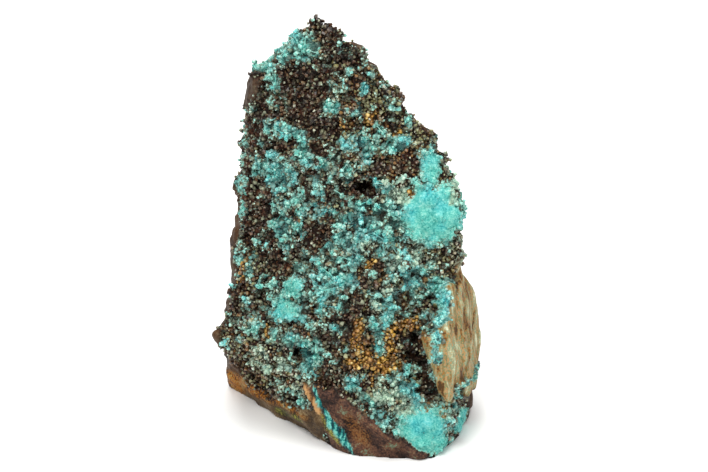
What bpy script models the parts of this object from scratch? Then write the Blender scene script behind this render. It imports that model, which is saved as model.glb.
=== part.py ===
"""Chrysocolla specimen: a broken wedge of iron-stained rock, its front crusted with druse.

The stone stands on its flat broken base. +Z is up and the crusted front looks towards -Y.
The rock is fused from a few blocks, each the convex hull of its corners. It is then
chipped, crusted with knobs and cut flat underneath. Every size below is in millimetres,
measured from a point on the table under the middle of the stone.
"""

import math

import bmesh
import bpy
from mathutils import Vector, noise

MM = 0.001

# The stone as it was broken
CREST_HEIGHT = 58.8
BACK_DEPTH = 17.5
FOOT_LEVEL = -1.2

# The two crusted faces in front, which meet in a soft upright crease
LEFT_FACE_FACING = -20.0
RIGHT_FACE_FACING = 8.0
FACE_LEAN = 15.0
LEFT_FACE_FOOT = Vector((0.8, -14.4, 0.0))
RIGHT_FACE_FOOT = Vector((10.0, -13.6, 0.0))

# Where the crust ends
CRUST_EDGE_INSIDE = -2.6
CRUST_FULL_INSIDE = -1.0
LIP_HEIGHT = 8.4
LIP_HEIGHT_AT_X = -3.2
LIP_FALL = 0.78
BARE_BAND_HEIGHT = 3.2
BARE_BAND_WOBBLE = 1.2

# Swells, lumps and knobs of the crust
CRUST_THICKNESS = 0.35
FACE_SWELL_SIZE = 13.0
FACE_SWELL_HEIGHT = 0.9
LUMP_SIZE = 5.2
LUMP_HEIGHT = 0.7
KNOB_SIZE = 2.7
KNOB_HEIGHT = 1.1
KNOB_BEND = 0.6

# Bedding steps and roughness of the broken rock
BED_SPACING = 3.4
BED_STEP_HEIGHT = 0.45
BED_BEND = 2.0
BED_BEND_SIZE = 12.0
BED_NORMAL = Vector((0.3, 0.93, 0.16))
ROUGHNESS_SIZE = 7.0
ROUGHNESS_HEIGHT = 0.75

# Pits in the crust: centre, radius and depth
PITS = (
    (Vector((-6.9, -8.0, 12.8)), 1.4, 2.4),
    (Vector((1.8, -4.0, 37.0)), 1.3, 2.0),
    (Vector((-13.6, -3.4, 25.0)), 2.2, 1.2),
    (Vector((3.6, -8.6, 20.8)), 1.8, 1.1),
    (Vector((-6.0, 1.4, 45.0)), 2.0, 0.9),
)

# Knobs that stand out past the rest of the crust: centre, radius and height
SPURS = (
    (Vector((6.2, -0.5, 49.6)), 1.5, 0.9),
    (Vector((10.6, -1.5, 43.6)), 1.6, 0.8),
    (Vector((2.9, -0.1, 53.0)), 1.3, 0.6),
    (Vector((-17.4, -2.3, 17.8)), 1.3, 0.8),
    (Vector((-16.2, 1.3, 32.5)), 1.6, 0.5),
)

# Chips broken out of the sides and the back: centre, radius and depth
CHIPS = (
    (Vector((-8.0, 15.5, 33.0)), 9.5, 1.7),
    (Vector((4.0, 15.0, 25.0)), 8.0, 1.4),
    (Vector((12.0, 12.0, 12.0)), 7.5, 1.5),
    (Vector((-13.0, 16.0, 11.0)), 8.0, 1.6),
    (Vector((0.5, 10.0, 46.5)), 6.5, 1.2),
    (Vector((15.0, 4.0, 32.0)), 6.5, 1.1),
    (Vector((-17.5, 7.0, 27.0)), 7.0, 0.9),
    (Vector((-2.0, 17.0, 6.0)), 7.0, 1.3),
)

# The cleft that runs down between the crust and the bare slab
CLEFT_PATH = (
    Vector((8.3, -8.2, 21.6)),
    Vector((8.2, -9.2, 17.0)),
    Vector((9.6, -10.6, 12.4)),
    Vector((12.2, -12.4, 7.6)),
)
CLEFT_WIDTH = 1.5
CLEFT_DEPTH = 1.5

# Mesh sizes
FUSE_VOXEL = 0.45
MOST_TRIANGLES = 10500


def direction(facing, lean):
    """Unit normal of a face, turned from -Y towards +X and tipped up, both in degrees."""
    turn = math.radians(facing)
    tip = math.radians(lean)
    return Vector(
        (math.sin(turn) * math.cos(tip), -math.cos(turn) * math.cos(tip), math.sin(tip))
    )


LEFT_FACE_NORMAL = direction(LEFT_FACE_FACING, FACE_LEAN)
RIGHT_FACE_NORMAL = direction(RIGHT_FACE_FACING, FACE_LEAN)


def ramp(low, high, value):
    """Smooth step from 0 at low to 1 at high."""
    share = min(max((value - low) / (high - low), 0.0), 1.0)
    return share * share * (3.0 - 2.0 * share)


def above_left_face(point):
    """Distance of a point in front of the left crusted face."""
    return (point - LEFT_FACE_FOOT).dot(LEFT_FACE_NORMAL)


def above_right_face(point):
    """Distance of a point in front of the right crusted face."""
    return (point - RIGHT_FACE_FOOT).dot(RIGHT_FACE_NORMAL)


def above_crusted_faces(point):
    """Distance of a point in front of the rock's crusted front, negative inside."""
    return max(above_left_face(point), above_right_face(point))


def on_left_face(x, z):
    """The point of the left crusted face at this x and height."""
    point = Vector((x, 0.0, z))
    point.y -= above_left_face(point) / LEFT_FACE_NORMAL.y
    return point


def on_right_face(x, z):
    """The point of the right crusted face at this x and height."""
    point = Vector((x, 0.0, z))
    point.y -= above_right_face(point) / RIGHT_FACE_NORMAL.y
    return point


def wedge_corners():
    """Corners of the main block: two crusted faces in front, broken sides and back."""
    left_edge = [
        on_left_face(x, z)
        for x, z in (
            (-17.6, 15.2),
            (-16.9, 20.0),
            (-15.8, 26.2),
            (-14.8, 39.9),
            (-14.0, 48.8),
            (-13.2, 50.8),
            (-10.8, 53.4),
            (-7.6, 56.4),
            (-5.8, CREST_HEIGHT),
        )
    ]
    right_edge = [
        on_right_face(x, z)
        for x, z in (
            (-2.4, CREST_HEIGHT + 0.3),
            (-1.0, 57.5),
            (0.8, 55.5),
            (6.2, 49.3),
            (10.7, 43.5),
            (12.9, 41.5),
            (14.5, 34.6),
            (14.6, 27.0),
            (15.2, 15.0),
            (14.2, 4.0),
        )
    ]
    lip = [on_left_face(-3.2, 8.6), on_right_face(2.6, 5.4), on_right_face(7.8, 1.4)]
    foot = [
        Vector((x, y, FOOT_LEVEL))
        for x, y in (
            (-18.9, 11.0),
            (-12.4, 2.4),
            (-7.8, -3.2),
            (-4.3, -6.9),
            (-1.0, -11.0),
            (0.9, -13.0),
            (8.7, -13.6),
            (10.9, -13.2),
            (13.9, -8.2),
            (16.0, -2.4),
            (16.9, 6.4),
            (13.6, 13.0),
            (6.0, BACK_DEPTH),
            (-8.0, BACK_DEPTH + 1.0),
            (-16.5, 15.5),
        )
    ]
    left_rear = [
        Vector(corner)
        for corner in (
            (-19.0, 12.0, 4.6),
            (-18.1, 14.5, 13.5),
            (-17.3, 14.5, 23.2),
            (-16.6, 13.5, 31.5),
            (-16.2, 12.5, 38.2),
            (-15.4, 11.5, 46.0),
            (-13.2, 10.6, 49.6),
        )
    ]
    rear = [
        Vector(corner)
        for corner in (
            (-8.6, 10.6, CREST_HEIGHT - 5.2),
            (-5.4, 9.6, CREST_HEIGHT - 2.6),
            (-3.4, 8.4, CREST_HEIGHT - 3.2),
            (3.0, 8.0, 47.5),
            (9.4, 7.4, 39.0),
            (13.2, 9.0, 28.0),
            (15.6, 11.0, 13.0),
            (2.0, BACK_DEPTH - 1.5, 30.0),
            (-9.0, BACK_DEPTH, 24.0),
        )
    ]
    return left_edge + right_edge + lip + foot + left_rear + rear


def slab_corners():
    """Corners of the bare slab that stands proud at the lower right."""
    front = (
        (9.3, -12.3, 18.6),
        (11.0, -13.6, 13.4),
        (13.2, -13.6, 9.2),
        (13.6, -12.4, 19.0),
        (13.2, -8.8, 24.8),
    )
    side = (
        (15.2, -3.0, 23.6),
        (16.0, 2.0, 21.2),
        (17.4, 3.0, 16.5),
        (18.6, 4.0, 11.7),
        (18.7, 4.5, 4.2),
        (17.4, 0.0, 4.0),
        (15.4, -8.4, 5.6),
        (16.2, -6.8, 12.0),
    )
    inside = ((10.6, 4.0, 20.0), (12.0, 6.0, 4.0), (10.2, -6.0, 17.5), (11.4, -8.0, 9.0))
    return [Vector(corner) for corner in front + side + inside]


def tooth_corners():
    """Corners of the tooth that juts out at the lower left, where the ledge ends."""
    corners = (
        (-20.0, -1.9, 13.9),
        (-19.7, -0.6, 13.4),
        (-18.0, -2.6, 15.4),
        (-17.9, 2.0, 14.6),
        (-18.6, 1.8, 10.2),
        (-16.0, -2.6, 10.6),
        (-15.0, -4.4, 14.0),
        (-15.0, 1.0, 12.0),
    )
    return [Vector(corner) for corner in corners]


def add_hull(mesh, corners):
    """Adds the convex hull of the corners to a bmesh."""
    made = [mesh.verts.new(corner) for corner in corners]
    hull = bmesh.ops.convex_hull(mesh, input=made, use_existing_faces=False)
    unused = {item for item in hull["geom_interior"] if isinstance(item, bmesh.types.BMVert)}
    bmesh.ops.delete(mesh, geom=list(unused), context="VERTS")


def with_modifier(mesh, kind, **settings):
    """A new mesh: this one as a modifier with these settings leaves it."""
    carrier = bpy.data.objects.new("carrier", mesh)
    bpy.context.scene.collection.objects.link(carrier)
    modifier = carrier.modifiers.new(kind.title(), kind)
    for name, value in settings.items():
        setattr(modifier, name, value)
    graph = bpy.context.evaluated_depsgraph_get()
    result = bpy.data.meshes.new_from_object(carrier.evaluated_get(graph))
    bpy.data.objects.remove(carrier)
    return result


def fused_blocks():
    """One closed mesh of the blocks, with evenly small faces to carry the relief."""
    blocks = bmesh.new()
    for corners in (wedge_corners(), slab_corners(), tooth_corners()):
        add_hull(blocks, corners)
    bmesh.ops.recalc_face_normals(blocks, faces=blocks.faces)
    mesh = bpy.data.meshes.new("blocks")
    blocks.to_mesh(mesh)
    blocks.free()
    return with_modifier(mesh, "REMESH", mode="VOXEL", voxel_size=FUSE_VOXEL)


def crust_share(point, normal):
    """How far a point of the surface is crusted with druse, from 0 to 1."""
    above = above_crusted_faces(point)
    front = ramp(CRUST_EDGE_INSIDE, CRUST_FULL_INSIDE, above)
    front *= ramp(-0.35, 0.2, 0.4 * normal.z - normal.y)
    undercut = ramp(0.1, 0.4, -normal.x) * ramp(0.0, 0.3, -normal.y)
    undercut *= ramp(-2.0, -4.0, point.x) * ramp(15.5, 13.5, point.z)
    bare_slab = ramp(0.5, 1.2, above) * ramp(8.0, 9.0, point.x)
    smooth_foot = ramp(-5.0, -3.0, point.x) * ramp(0.0, 2.0, lip_height(point.x) - point.z)
    height = point.z + BARE_BAND_WOBBLE * noise.noise(point * 0.4)
    bare_band = ramp(BARE_BAND_HEIGHT + 0.8, BARE_BAND_HEIGHT - 0.8, height)
    bare_band *= ramp(6.0, 2.0, point.x)
    bare = (1.0 - bare_slab) * (1.0 - smooth_foot) * (1.0 - bare_band)
    return max(front, undercut) * bare


def lip_height(x):
    """Height of the crust's lower lip over the smooth break at the front foot."""
    return max(LIP_HEIGHT - LIP_FALL * (x - LIP_HEIGHT_AT_X), 0.0)


def cell_dome(point, size):
    """Height from 0 to 1 of the rounded cell that a point lies on, with its own size."""
    distances, centres = noise.voronoi(point / size)
    strength = 0.65 + 0.35 * noise.cell(centres[0] * 7.3)
    edge = ramp(0.0, 0.45, distances[1] - distances[0])
    return strength * edge * (1.0 - 0.6 * ramp(0.1, 0.8, distances[0]))


def crust_relief(point):
    """How far the crust stands out at a point: swells, lumps and knobs."""
    swell = FACE_SWELL_HEIGHT * noise.noise(point / FACE_SWELL_SIZE + Vector((3.1, 0.0, 7.7)))
    lump = LUMP_HEIGHT * (cell_dome(point, LUMP_SIZE) - 0.45)
    bent = point + KNOB_BEND * noise.noise_vector(point / 3.0)
    knob = KNOB_HEIGHT * (cell_dome(bent, KNOB_SIZE) - 0.3)
    for centre, radius, height in SPURS:
        knob += height * ramp(radius * 1.3, radius * 0.2, (point - centre).length)
    return CRUST_THICKNESS + swell + lump + knob


def rock_relief(point):
    """How far the broken rock stands out at a point: bedding steps, roughness and chips."""
    tilted = point.dot(BED_NORMAL) + BED_BEND * noise.noise(point / BED_BEND_SIZE)
    bed = tilted / BED_SPACING
    step = BED_STEP_HEIGHT * (ramp(0.3, 0.7, bed - math.floor(bed)) - 0.5)
    step *= ramp(-0.25, 0.25, noise.noise(point / 10.0 + Vector((0.0, 5.3, 0.0))))
    rough = ROUGHNESS_HEIGHT * noise.fractal(point / ROUGHNESS_SIZE, 0.9, 2.1, 2)
    chipped = 0.0
    for centre, radius, depth in CHIPS:
        chipped = max(chipped, depth * (1.0 - ((point - centre).length / radius) ** 2))
    return step + rough - chipped


def distance_to_path(point, path):
    """Distance from a point to a line through the path's points."""
    nearest = []
    for start, end in zip(path, path[1:]):
        along = end - start
        share = min(max((point - start).dot(along) / along.length_squared, 0.0), 1.0)
        nearest.append((point - start - along * share).length)
    return min(nearest)


def hollow_relief(point):
    """How far the pits and the cleft sink the surface at a point."""
    sunk = 0.0
    for centre, radius, depth in PITS:
        sunk += depth * ramp(radius * 1.5, radius * 0.4, (point - centre).length)
    away = distance_to_path(point, CLEFT_PATH)
    return sunk + CLEFT_DEPTH * ramp(CLEFT_WIDTH * 1.5, CLEFT_WIDTH * 0.3, away)


def give_relief(mesh):
    """Moves every point of the mesh along its normal by the relief of its place."""
    moved = []
    for vertex in mesh.vertices:
        point = vertex.co.copy()
        crust = crust_share(point, vertex.normal)
        relief = crust * crust_relief(point) + (1.0 - crust) * rock_relief(point)
        moved.append(point + vertex.normal * (relief - hollow_relief(point)))
    for vertex, place in zip(mesh.vertices, moved):
        vertex.co = place


def with_flat_base(mesh):
    """The same mesh cut level at the foot, moved to stand on the origin, in metres."""
    cut = bmesh.new()
    cut.from_mesh(mesh)
    everything = cut.verts[:] + cut.edges[:] + cut.faces[:]
    bmesh.ops.bisect_plane(
        cut,
        geom=everything,
        plane_co=Vector((0.0, 0.0, 0.0)),
        plane_no=Vector((0.0, 0.0, 1.0)),
        clear_inner=True,
    )
    rim = [edge for edge in cut.edges if edge.is_boundary]
    bmesh.ops.holes_fill(cut, edges=rim, sides=0)
    bmesh.ops.triangulate(cut, faces=[face for face in cut.faces if len(face.verts) > 3])
    bmesh.ops.dissolve_degenerate(cut, dist=0.01, edges=cut.edges)
    bmesh.ops.recalc_face_normals(cut, faces=cut.faces)
    xs, ys, zs = zip(*(vertex.co for vertex in cut.verts))
    middle = Vector(((min(xs) + max(xs)) / 2.0, (min(ys) + max(ys)) / 2.0, min(zs)))
    for vertex in cut.verts:
        vertex.co = (vertex.co - middle) * MM
    cut.to_mesh(mesh)
    cut.free()
    return mesh


def rock_material():
    """Brown iron-stained rock, the ground colour under the blue-green crust."""
    material = bpy.data.materials.new("iron_stained_rock")
    material.use_nodes = True
    shader = material.node_tree.nodes["Principled BSDF"]
    shader.inputs["Base Color"].default_value = (0.146, 0.221, 0.178, 1.0)
    shader.inputs["Roughness"].default_value = 0.75
    shader.inputs["Metallic"].default_value = 0.0
    return material


def make_specimen():
    """The whole stone as one solid."""
    mesh = fused_blocks()
    give_relief(mesh)
    share = MOST_TRIANGLES / (2 * len(mesh.polygons))
    mesh = with_modifier(mesh, "DECIMATE", ratio=share, use_collapse_triangulate=True)
    mesh = with_flat_base(mesh)
    mesh.name = "chrysocolla_specimen"
    mesh.materials.append(rock_material())
    specimen = bpy.data.objects.new("chrysocolla_specimen", mesh)
    bpy.context.scene.collection.objects.link(specimen)
    return specimen


def clear_scene():
    """Removes whatever objects the scene holds."""
    for item in list(bpy.data.objects):
        bpy.data.objects.remove(item)


clear_scene()
make_specimen()
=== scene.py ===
"""The chrysocolla specimen dressed: stained rock, dark druse, blue-green crust and ochre grains.

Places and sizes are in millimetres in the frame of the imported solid, and each finished mesh is
scaled to metres. X runs to the right along the crusted front, -Y is where the front looks and
+Z is up from the flat foot.
"""

import logging
import math
from dataclasses import dataclass, field
from enum import Enum
from functools import partial

import bmesh
import bpy
import numpy as np
from mathutils import Euler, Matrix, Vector
from mathutils.kdtree import KDTree


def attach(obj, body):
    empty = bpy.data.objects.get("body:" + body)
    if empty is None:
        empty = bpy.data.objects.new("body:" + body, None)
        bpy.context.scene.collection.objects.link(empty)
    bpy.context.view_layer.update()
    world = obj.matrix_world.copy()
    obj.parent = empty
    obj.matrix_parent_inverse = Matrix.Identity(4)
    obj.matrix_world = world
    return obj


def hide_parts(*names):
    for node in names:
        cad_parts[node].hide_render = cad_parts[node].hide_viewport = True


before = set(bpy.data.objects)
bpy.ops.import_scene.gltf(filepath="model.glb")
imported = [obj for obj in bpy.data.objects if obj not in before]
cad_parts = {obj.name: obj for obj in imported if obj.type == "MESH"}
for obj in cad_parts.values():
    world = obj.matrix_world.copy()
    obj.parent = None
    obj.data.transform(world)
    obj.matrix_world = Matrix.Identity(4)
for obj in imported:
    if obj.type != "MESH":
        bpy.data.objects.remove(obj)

MM = 0.001
NODE = "chrysocolla_specimen"
RGBA = {"output": 2, "data_type": "RGBA"}
log = logging.getLogger("specimen")

Array = np.ndarray
Socket = bpy.types.NodeSocket
Triple = tuple[float, float, float]
Stops = tuple[tuple[float, str], ...]


# Numbers over the whole surface


# The primes keep cells apart, and each shift and factor stirs the bits of a number once more
CELL_PRIMES = (73856093, 19349663, 83492791)
SEED_PRIME = 2654435761
STIRS = ((15, 2246822519), (13, 3266489917))
WORD = 0xFFFFFFFF
# How many cells the patterns are shifted, which keeps the stone clear of their seams
SHIFT = 100.5
# Strength of each layer of finer lumps, as a share of the one before
FALLOFF = 0.55


def ramp(low: float, high: float, value: Array) -> Array:
    """Smooth step from 0 where the value is low to 1 where it is high, which may be below low."""
    share = np.clip((value - low) / (high - low), 0.0, 1.0)
    return share * share * (3.0 - 2.0 * share)


def unit(vectors: Array) -> Array:
    """The same directions, each of length one."""
    return vectors / np.maximum(np.linalg.norm(vectors, axis=-1, keepdims=True), 1e-9)


def direction(turn: float, tip: float) -> Triple:
    """The way that is turned from the front and then tipped up.

    Args:
        turn: degrees from -Y towards +X.
        tip: degrees above level.

    Returns:
        Its X, Y and Z, of length one.
    """
    turn, tip = math.radians(turn), math.radians(tip)
    level = math.cos(tip)
    return math.sin(turn) * level, -math.cos(turn) * level, math.sin(tip)


def cell_numbers(cells: Array, seed: int) -> Array:
    """A fixed random number for each whole-number cell.

    Args:
        cells: whole numbers, three to a cell.
        seed: which set of random numbers to give.

    Returns:
        Numbers from 0 to 1, one to a cell.
    """
    with np.errstate(over="ignore"):
        x, y, z = (cells[..., axis] * prime for axis, prime in enumerate(CELL_PRIMES))
        mixed = (x ^ y ^ z ^ (seed * SEED_PRIME)) & WORD
        for shift, factor in STIRS:
            mixed = ((mixed ^ (mixed >> shift)) * factor) & WORD
        mixed = mixed ^ (mixed >> 16)
    return mixed / float(WORD)


def soft_noise(points: Array, size: float, seed: int = 0) -> Array:
    """Smooth lumps from -1 to 1.

    Args:
        points: places in millimetres.
        size: distance between lumps in millimetres.
        seed: which pattern to give.

    Returns:
        One number to a point.
    """
    scaled = points / size + SHIFT
    low = np.floor(scaled).astype(np.int64)
    share = ramp(0.0, 1.0, scaled - low)
    total = np.zeros(len(points))
    for corner in np.ndindex(2, 2, 2):
        offset = np.array(corner)
        weight = np.prod(np.where(offset == 1, share, 1.0 - share), axis=1)
        total += weight * cell_numbers(low + offset, seed)
    return total * 2.0 - 1.0


def rough_noise(points: Array, size: float, octaves: int, seed: int = 0) -> Array:
    """Lumps with finer lumps on them, roughly from -1 to 1.

    Args:
        points: places in millimetres.
        size: distance between the coarsest lumps in millimetres.
        octaves: how many times the size is halved.
        seed: which pattern to give.

    Returns:
        One number to a point.
    """
    strengths = FALLOFF ** np.arange(octaves)
    total = np.zeros(len(points))
    for octave, strength in enumerate(strengths):
        total += strength * soft_noise(points, size / 2.0**octave, seed + octave)
    return total / strengths.sum()


def bent(points: Array, size: float, reach: float, seed: int = 0) -> Array:
    """The points pushed about by up to the reach, so that what is read there has uneven edges."""
    push = [soft_noise(points, size, seed + axis) for axis in range(3)]
    return points + reach * np.stack(push, axis=1)


def knobs(points: Array, size: float, seed: int = 0) -> tuple[Array, Array]:
    """Rounded knobs packed side by side, as clusters in a druse are.

    Args:
        points: places in millimetres.
        size: distance between knobs in millimetres.
        seed: which packing to give.

    Returns:
        The height on the knob, from 0 at its edge to about 1 at its top, and each knob's own
        random number.
    """
    scaled = points / size + SHIFT
    home = np.floor(scaled).astype(np.int64)
    first = second = np.full(len(points), 9.0)
    luck = np.zeros(len(points))
    for step in np.ndindex(3, 3, 3):
        cell = home + np.array(step) - 1
        centre = np.stack([cell_numbers(cell, seed + axis) for axis in (1, 2, 3)], axis=1)
        away = np.linalg.norm(cell + centre - scaled, axis=1)
        nearer = away < first
        luck = np.where(nearer, cell_numbers(cell, seed + 4), luck)
        second = np.where(nearer, first, np.minimum(second, away))
        first = np.minimum(first, away)
    height = ramp(0.0, 0.45, second - first) * (1.0 - 0.5 * ramp(0.1, 0.9, first))
    return height, luck


# Where the minerals lie


@dataclass(frozen=True)
class Spot:
    """A patch of one mineral, as an ellipse seen from the front.

    Attributes:
        x: place to the right, mm.
        z: height, mm.
        width: mm.
        height: mm.
        tilt: degrees that its upright axis leans, positive to the left.
        strength: how much of the mineral it holds, 0 to 1.
        fade: where the mineral ends and where it is full, in half widths.
    """

    x: float
    z: float
    width: float
    height: float
    tilt: float = 0.0
    strength: float = 1.0
    fade: tuple[float, float] = (1.45, 0.6)

    def share(self, points: Array) -> Array:
        """How far each point lies in the patch.

        Args:
            points: places in millimetres.

        Returns:
            From 0 outside to the patch's strength inside.
        """
        turn = math.radians(self.tilt)
        right = points[:, 0] - self.x
        rise = points[:, 2] - self.z
        along = right * math.cos(turn) + rise * math.sin(turn)
        across = rise * math.cos(turn) - right * math.sin(turn)
        away = np.hypot(along / (self.width / 2.0), across / (self.height / 2.0))
        return self.strength * ramp(*self.fade, away)


def spots(*rows: tuple[float, ...]) -> tuple[Spot, ...]:
    """Patches from rows of place, size and, where they have them, tilt and strength."""
    return tuple(Spot(*row) for row in rows)


class Patches(Enum):
    """The patches of each mineral: x, z, width, height, and then tilt and strength if any."""

    CHRYSOCOLLA = spots(
        (-6.6, 55.4, 3.6, 3), (-8.9, 54.3, 3.9, 2.2, 40), (-12, 51.8, 3.1, 2.7),
        (-10.8, 49.6, 2.3, 3, 0, 0.8), (-9.7, 47.6, 2, 1.8, 0, 0.7), (-10, 44.1, 6.1, 2.7),
        (-6.4, 42.1, 2.5, 5.9), (-10.6, 37.9, 8.3, 4.6), (-15, 40.4, 1.7, 1.2), (-2.2, 48.5, 1.9, 1.9),
        (2, 50.6, 1.7, 1.6), (1.2, 47.2, 1.4, 1.9), (4.1, 45.1, 1.9, 1.6), (1.2, 43.6, 5.6, 2.2),
        (2.6, 41.5, 1.9, 3.2), (6.8, 42.9, 4.2, 1.9), (8.7, 45.7, 1.1, 1.6), (13, 42.4, 1.4, 0.9),
        (-0.4, 38.9, 3.3, 3.5), (-3.5, 39.4, 1.4, 3), (5, 37.3, 3.9, 3), (11.6, 39.6, 2.8, 4.3),
        (11.5, 33.3, 8.6, 9.2), (6.6, 35.6, 5.4, 4), (3.3, 32.8, 11.4, 4.9), (-3.6, 34, 4.7, 1.9),
        (-9.1, 30.6, 3.6, 3.5), (-10.9, 33.5, 1.9, 1.4), (-5.3, 27.2, 2.5, 1.6), (-3.1, 24.4, 5.6, 2.4),
        (-7.9, 22.4, 3.6, 4.1), (-9.2, 18.8, 5.3, 3.5), (-4.3, 21.3, 2.2, 5.4), (0.9, 26.9, 2.2, 4.9),
        (-0.5, 30, 4.2, 1.9), (-5.3, 13.7, 3.6, 4.9), (-9.6, 14.6, 5, 1.6), (-13.6, 17.1, 1.9, 3),
        (-14.6, 19.8, 2.2, 1.1), (-12.5, 22.1, 1.9, 1.4), (-1.7, 17.9, 2.2, 1.9), (9.2, 24.5, 3.1, 3.5),
        (12.6, 23.1, 2.8, 5.4), (6.3, 21.9, 3.6, 1.6, 30), (4.8, 18.9, 3.6, 3.2), (4.2, 16, 1.8, 2.6),
        (-8.1, 7.8, 2.2, 2.2), (0.5, 10.7, 1.9, 2.2), (4.4, 8.8, 2.8, 2.2), (8.6, 8.7, 3.3, 3.8),
        (10.6, 4, 7.4, 7.6), (7.6, 4.6, 3.6, 3.2, 40), (13, 1.2, 3.4, 2.6), (16.3, 2.2, 2.2, 4),
        (11.9, 19.6, 3.4, 1.3), (9.6, 14.7, 1, 0.8), (15.5, 10.4, 2.2, 1.6),
    )
    MIXED = spots(
        (-7.5, 30, 21, 24, 0, 0.46), (3, 29.5, 18, 14, 0, 0.62), (-9.5, 52, 6, 12, -35, 0.22),
        (8, 21, 14, 13, 0, 0.4), (9, 8, 18, 12, 0, 0.52), (-10, 9, 14, 10, 0, 0.4),
    )
    SMOOTH_COAT = spots(
        (11.5, 33.6, 7, 7.6), (10.6, 4, 6.6, 6.8), (12.8, 1.2, 2.8, 2.2),
        (-9.2, 18.8, 3.6, 2.4, 0, 0.7), (-7.9, 22.8, 2.2, 3, 0, 0.6), (11.6, 39.6, 2, 3.2, 0, 0.8),
        (12.7, 23, 1.6, 3.6, 0, 0.35), (16.3, 2.2, 1.8, 3.4),
    )
    BROWN_DRUSE = spots(
        (7.5, 47, 20, 17, 38), (11, 40.5, 8, 7, 20), (6.5, 11.5, 14, 8), (12.5, 27, 8, 6),
        (5.5, 23, 12, 11), (4, 15, 12, 8), (-14, 9.5, 12, 9, 30), (-8, 10, 8, 5), (-17, 13.5, 4, 4),
        (-13.5, 24, 2.5, 6), (14, 7, 6, 3, 0, 0.8),
    )
    DARK_DRUSE = spots(
        (-5.5, 50.1, 3.6, 5.1), (-3.4, 57.9, 4.2, 2.4), (-10, 41.7, 3.9, 1.4), (-11, 46, 4.2, 1.6, 10),
        (-12.2, 43.2, 4, 1.6), (-6.6, 47.4, 4.6, 4.6), (-3.6, 45.2, 4, 2.6), (-8.6, 51.6, 2.4, 2),
        (-13.8, 30, 2.6, 4.4), (-14.4, 37.4, 1.6, 3), (-4.1, 41.8, 2.2, 2.7), (-12.6, 33, 3.5, 5.9),
        (4.3, 40, 2.2, 1.9), (8.2, 39.8, 3.1, 2.7), (1.9, 36.7, 2.2, 2.7), (-10.1, 25.3, 4.7, 4.3),
        (-6.3, 28.6, 3.3, 3.2), (-4.2, 30.4, 2.5, 2.4), (3.3, 25.8, 2.6, 4.2), (1.6, 21.7, 2.8, 3.5),
        (-0.6, 18.2, 1.9, 3.5), (9.4, 14.6, 1.6, 4.6, 10), (11.2, 10.4, 1.9, 6.2, 28),
    )
    # The cleft beside the slab: carved into the rock and also darkened as painted shade
    CLEFT = spots(
        (9.4, 14.6, 1.2, 4.4, 10), (11.2, 10.4, 1.6, 6, 28),
    )
    LIMONITE = spots(
        (-0.7, 45.1, 1, 1.2), (3.8, 46.8, 2.8, 1.1, 40), (7.1, 43.7, 0.8, 1.2), (1.1, 17, 2.8, 5.2),
        (2.6, 14.4, 3, 2.6), (6.5, 16.9, 3, 4), (5.6, 13.5, 4.4, 3.2), (3.3, 11.9, 1.8, 2.6),
        (0.6, 13.2, 1.8, 1.4), (-12, 16.1, 1.3, 2.2, -20), (5.2, 25, 0.9, 0.9), (2.7, 26.7, 0.9, 0.9),
        (9.2, 36.2, 1, 0.9), (-14.5, 23.6, 1, 5, -15), (12.2, 28.4, 0.9, 0.9), (11.1, 6.9, 1.9, 0.9),
        (13.3, 6.6, 1.5, 1.2), (-0.3, 13.4, 2.2, 1.1), (-13.5, 16.9, 1.6, 1.8, -30),
        (8.9, 18, 2.2, 3.2, 10),
    )
    PALE_DRUSE = spots(
        (4.9, 38.4, 2.5, 1.4), (7.4, 37, 2.5, 3), (3, 29.7, 3.6, 1.6), (14.8, 37.6, 1.4, 6.8),
        (14.9, 28, 1.9, 4.6), (10, 27.5, 5, 2.6, 0, 0.8), (6, 27, 4, 2.6, 0, 0.7), (0.5, 8.9, 3.3, 2.2),
        (4.7, 10.2, 4.7, 3), (6.8, 8, 5, 3, -20), (7, 35.8, 4, 2.6, 0, 0.8), (3.4, 21, 2.8, 2.2),
        (7.9, 18, 3.1, 3), (-7.4, 10.8, 3.1, 1.6), (-2.4, 39.4, 1.4, 1.9), (1.2, 12.8, 2.5, 1.2),
        (-13.5, 10.5, 11, 8, 30, 0.95), (5.5, 23.8, 3.4, 2.2, 0, 0.8), (-8, 9, 7, 4, 0, 0.8),
        (15, 6.5, 3.4, 2, 0, 0.7),
    )
    SLAB_SMEARS = spots(
        (12.1, 18.2, 1.6, 3.4), (12, 15.6, 1.8, 2.6), (11.1, 12.6, 1.9, 2.2, 20),
        (12, 20.2, 3.8, 1.4, 10), (13.2, 22.6, 1.2, 4), (15.9, 9.9, 2.8, 2.2), (18.5, 8.4, 1.4, 1.8),
    )
    TAN_STRIP = spots((-5.3, 7.5, 1.1, 5.4, 25))
    GREEN_VEIN = spots(
        (-4.3, 7.7, 0.9, 3.4, 14), (-1.7, 3.4, 1.1, 8, 36),
    )
    OLIVE_EDGE = spots(
        (-2.6, 3.2, 1, 5.6, 36, 0.6), (-9.6, 1.8, 2.6, 1.8, 20), (-7.2, 3, 1.2, 1),
    )
    EMBER_BREAK = spots(
        (1.2, 3.8, 2.4, 5, 36, 0.35), (-14, 3.4, 9, 2.6, 8), (-9.5, 4.2, 6, 1.4, -4), (-17, 2, 3, 4),
    )
    SLAB_NOTCH = spots((15.6, 9.6, 2.2, 3.4, -10))

    def share(self, points: Array) -> Array:
        """How far each point lies in any of the patches, from 0 to 1."""
        return np.max([spot.share(points) for spot in self.value], axis=0)


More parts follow.
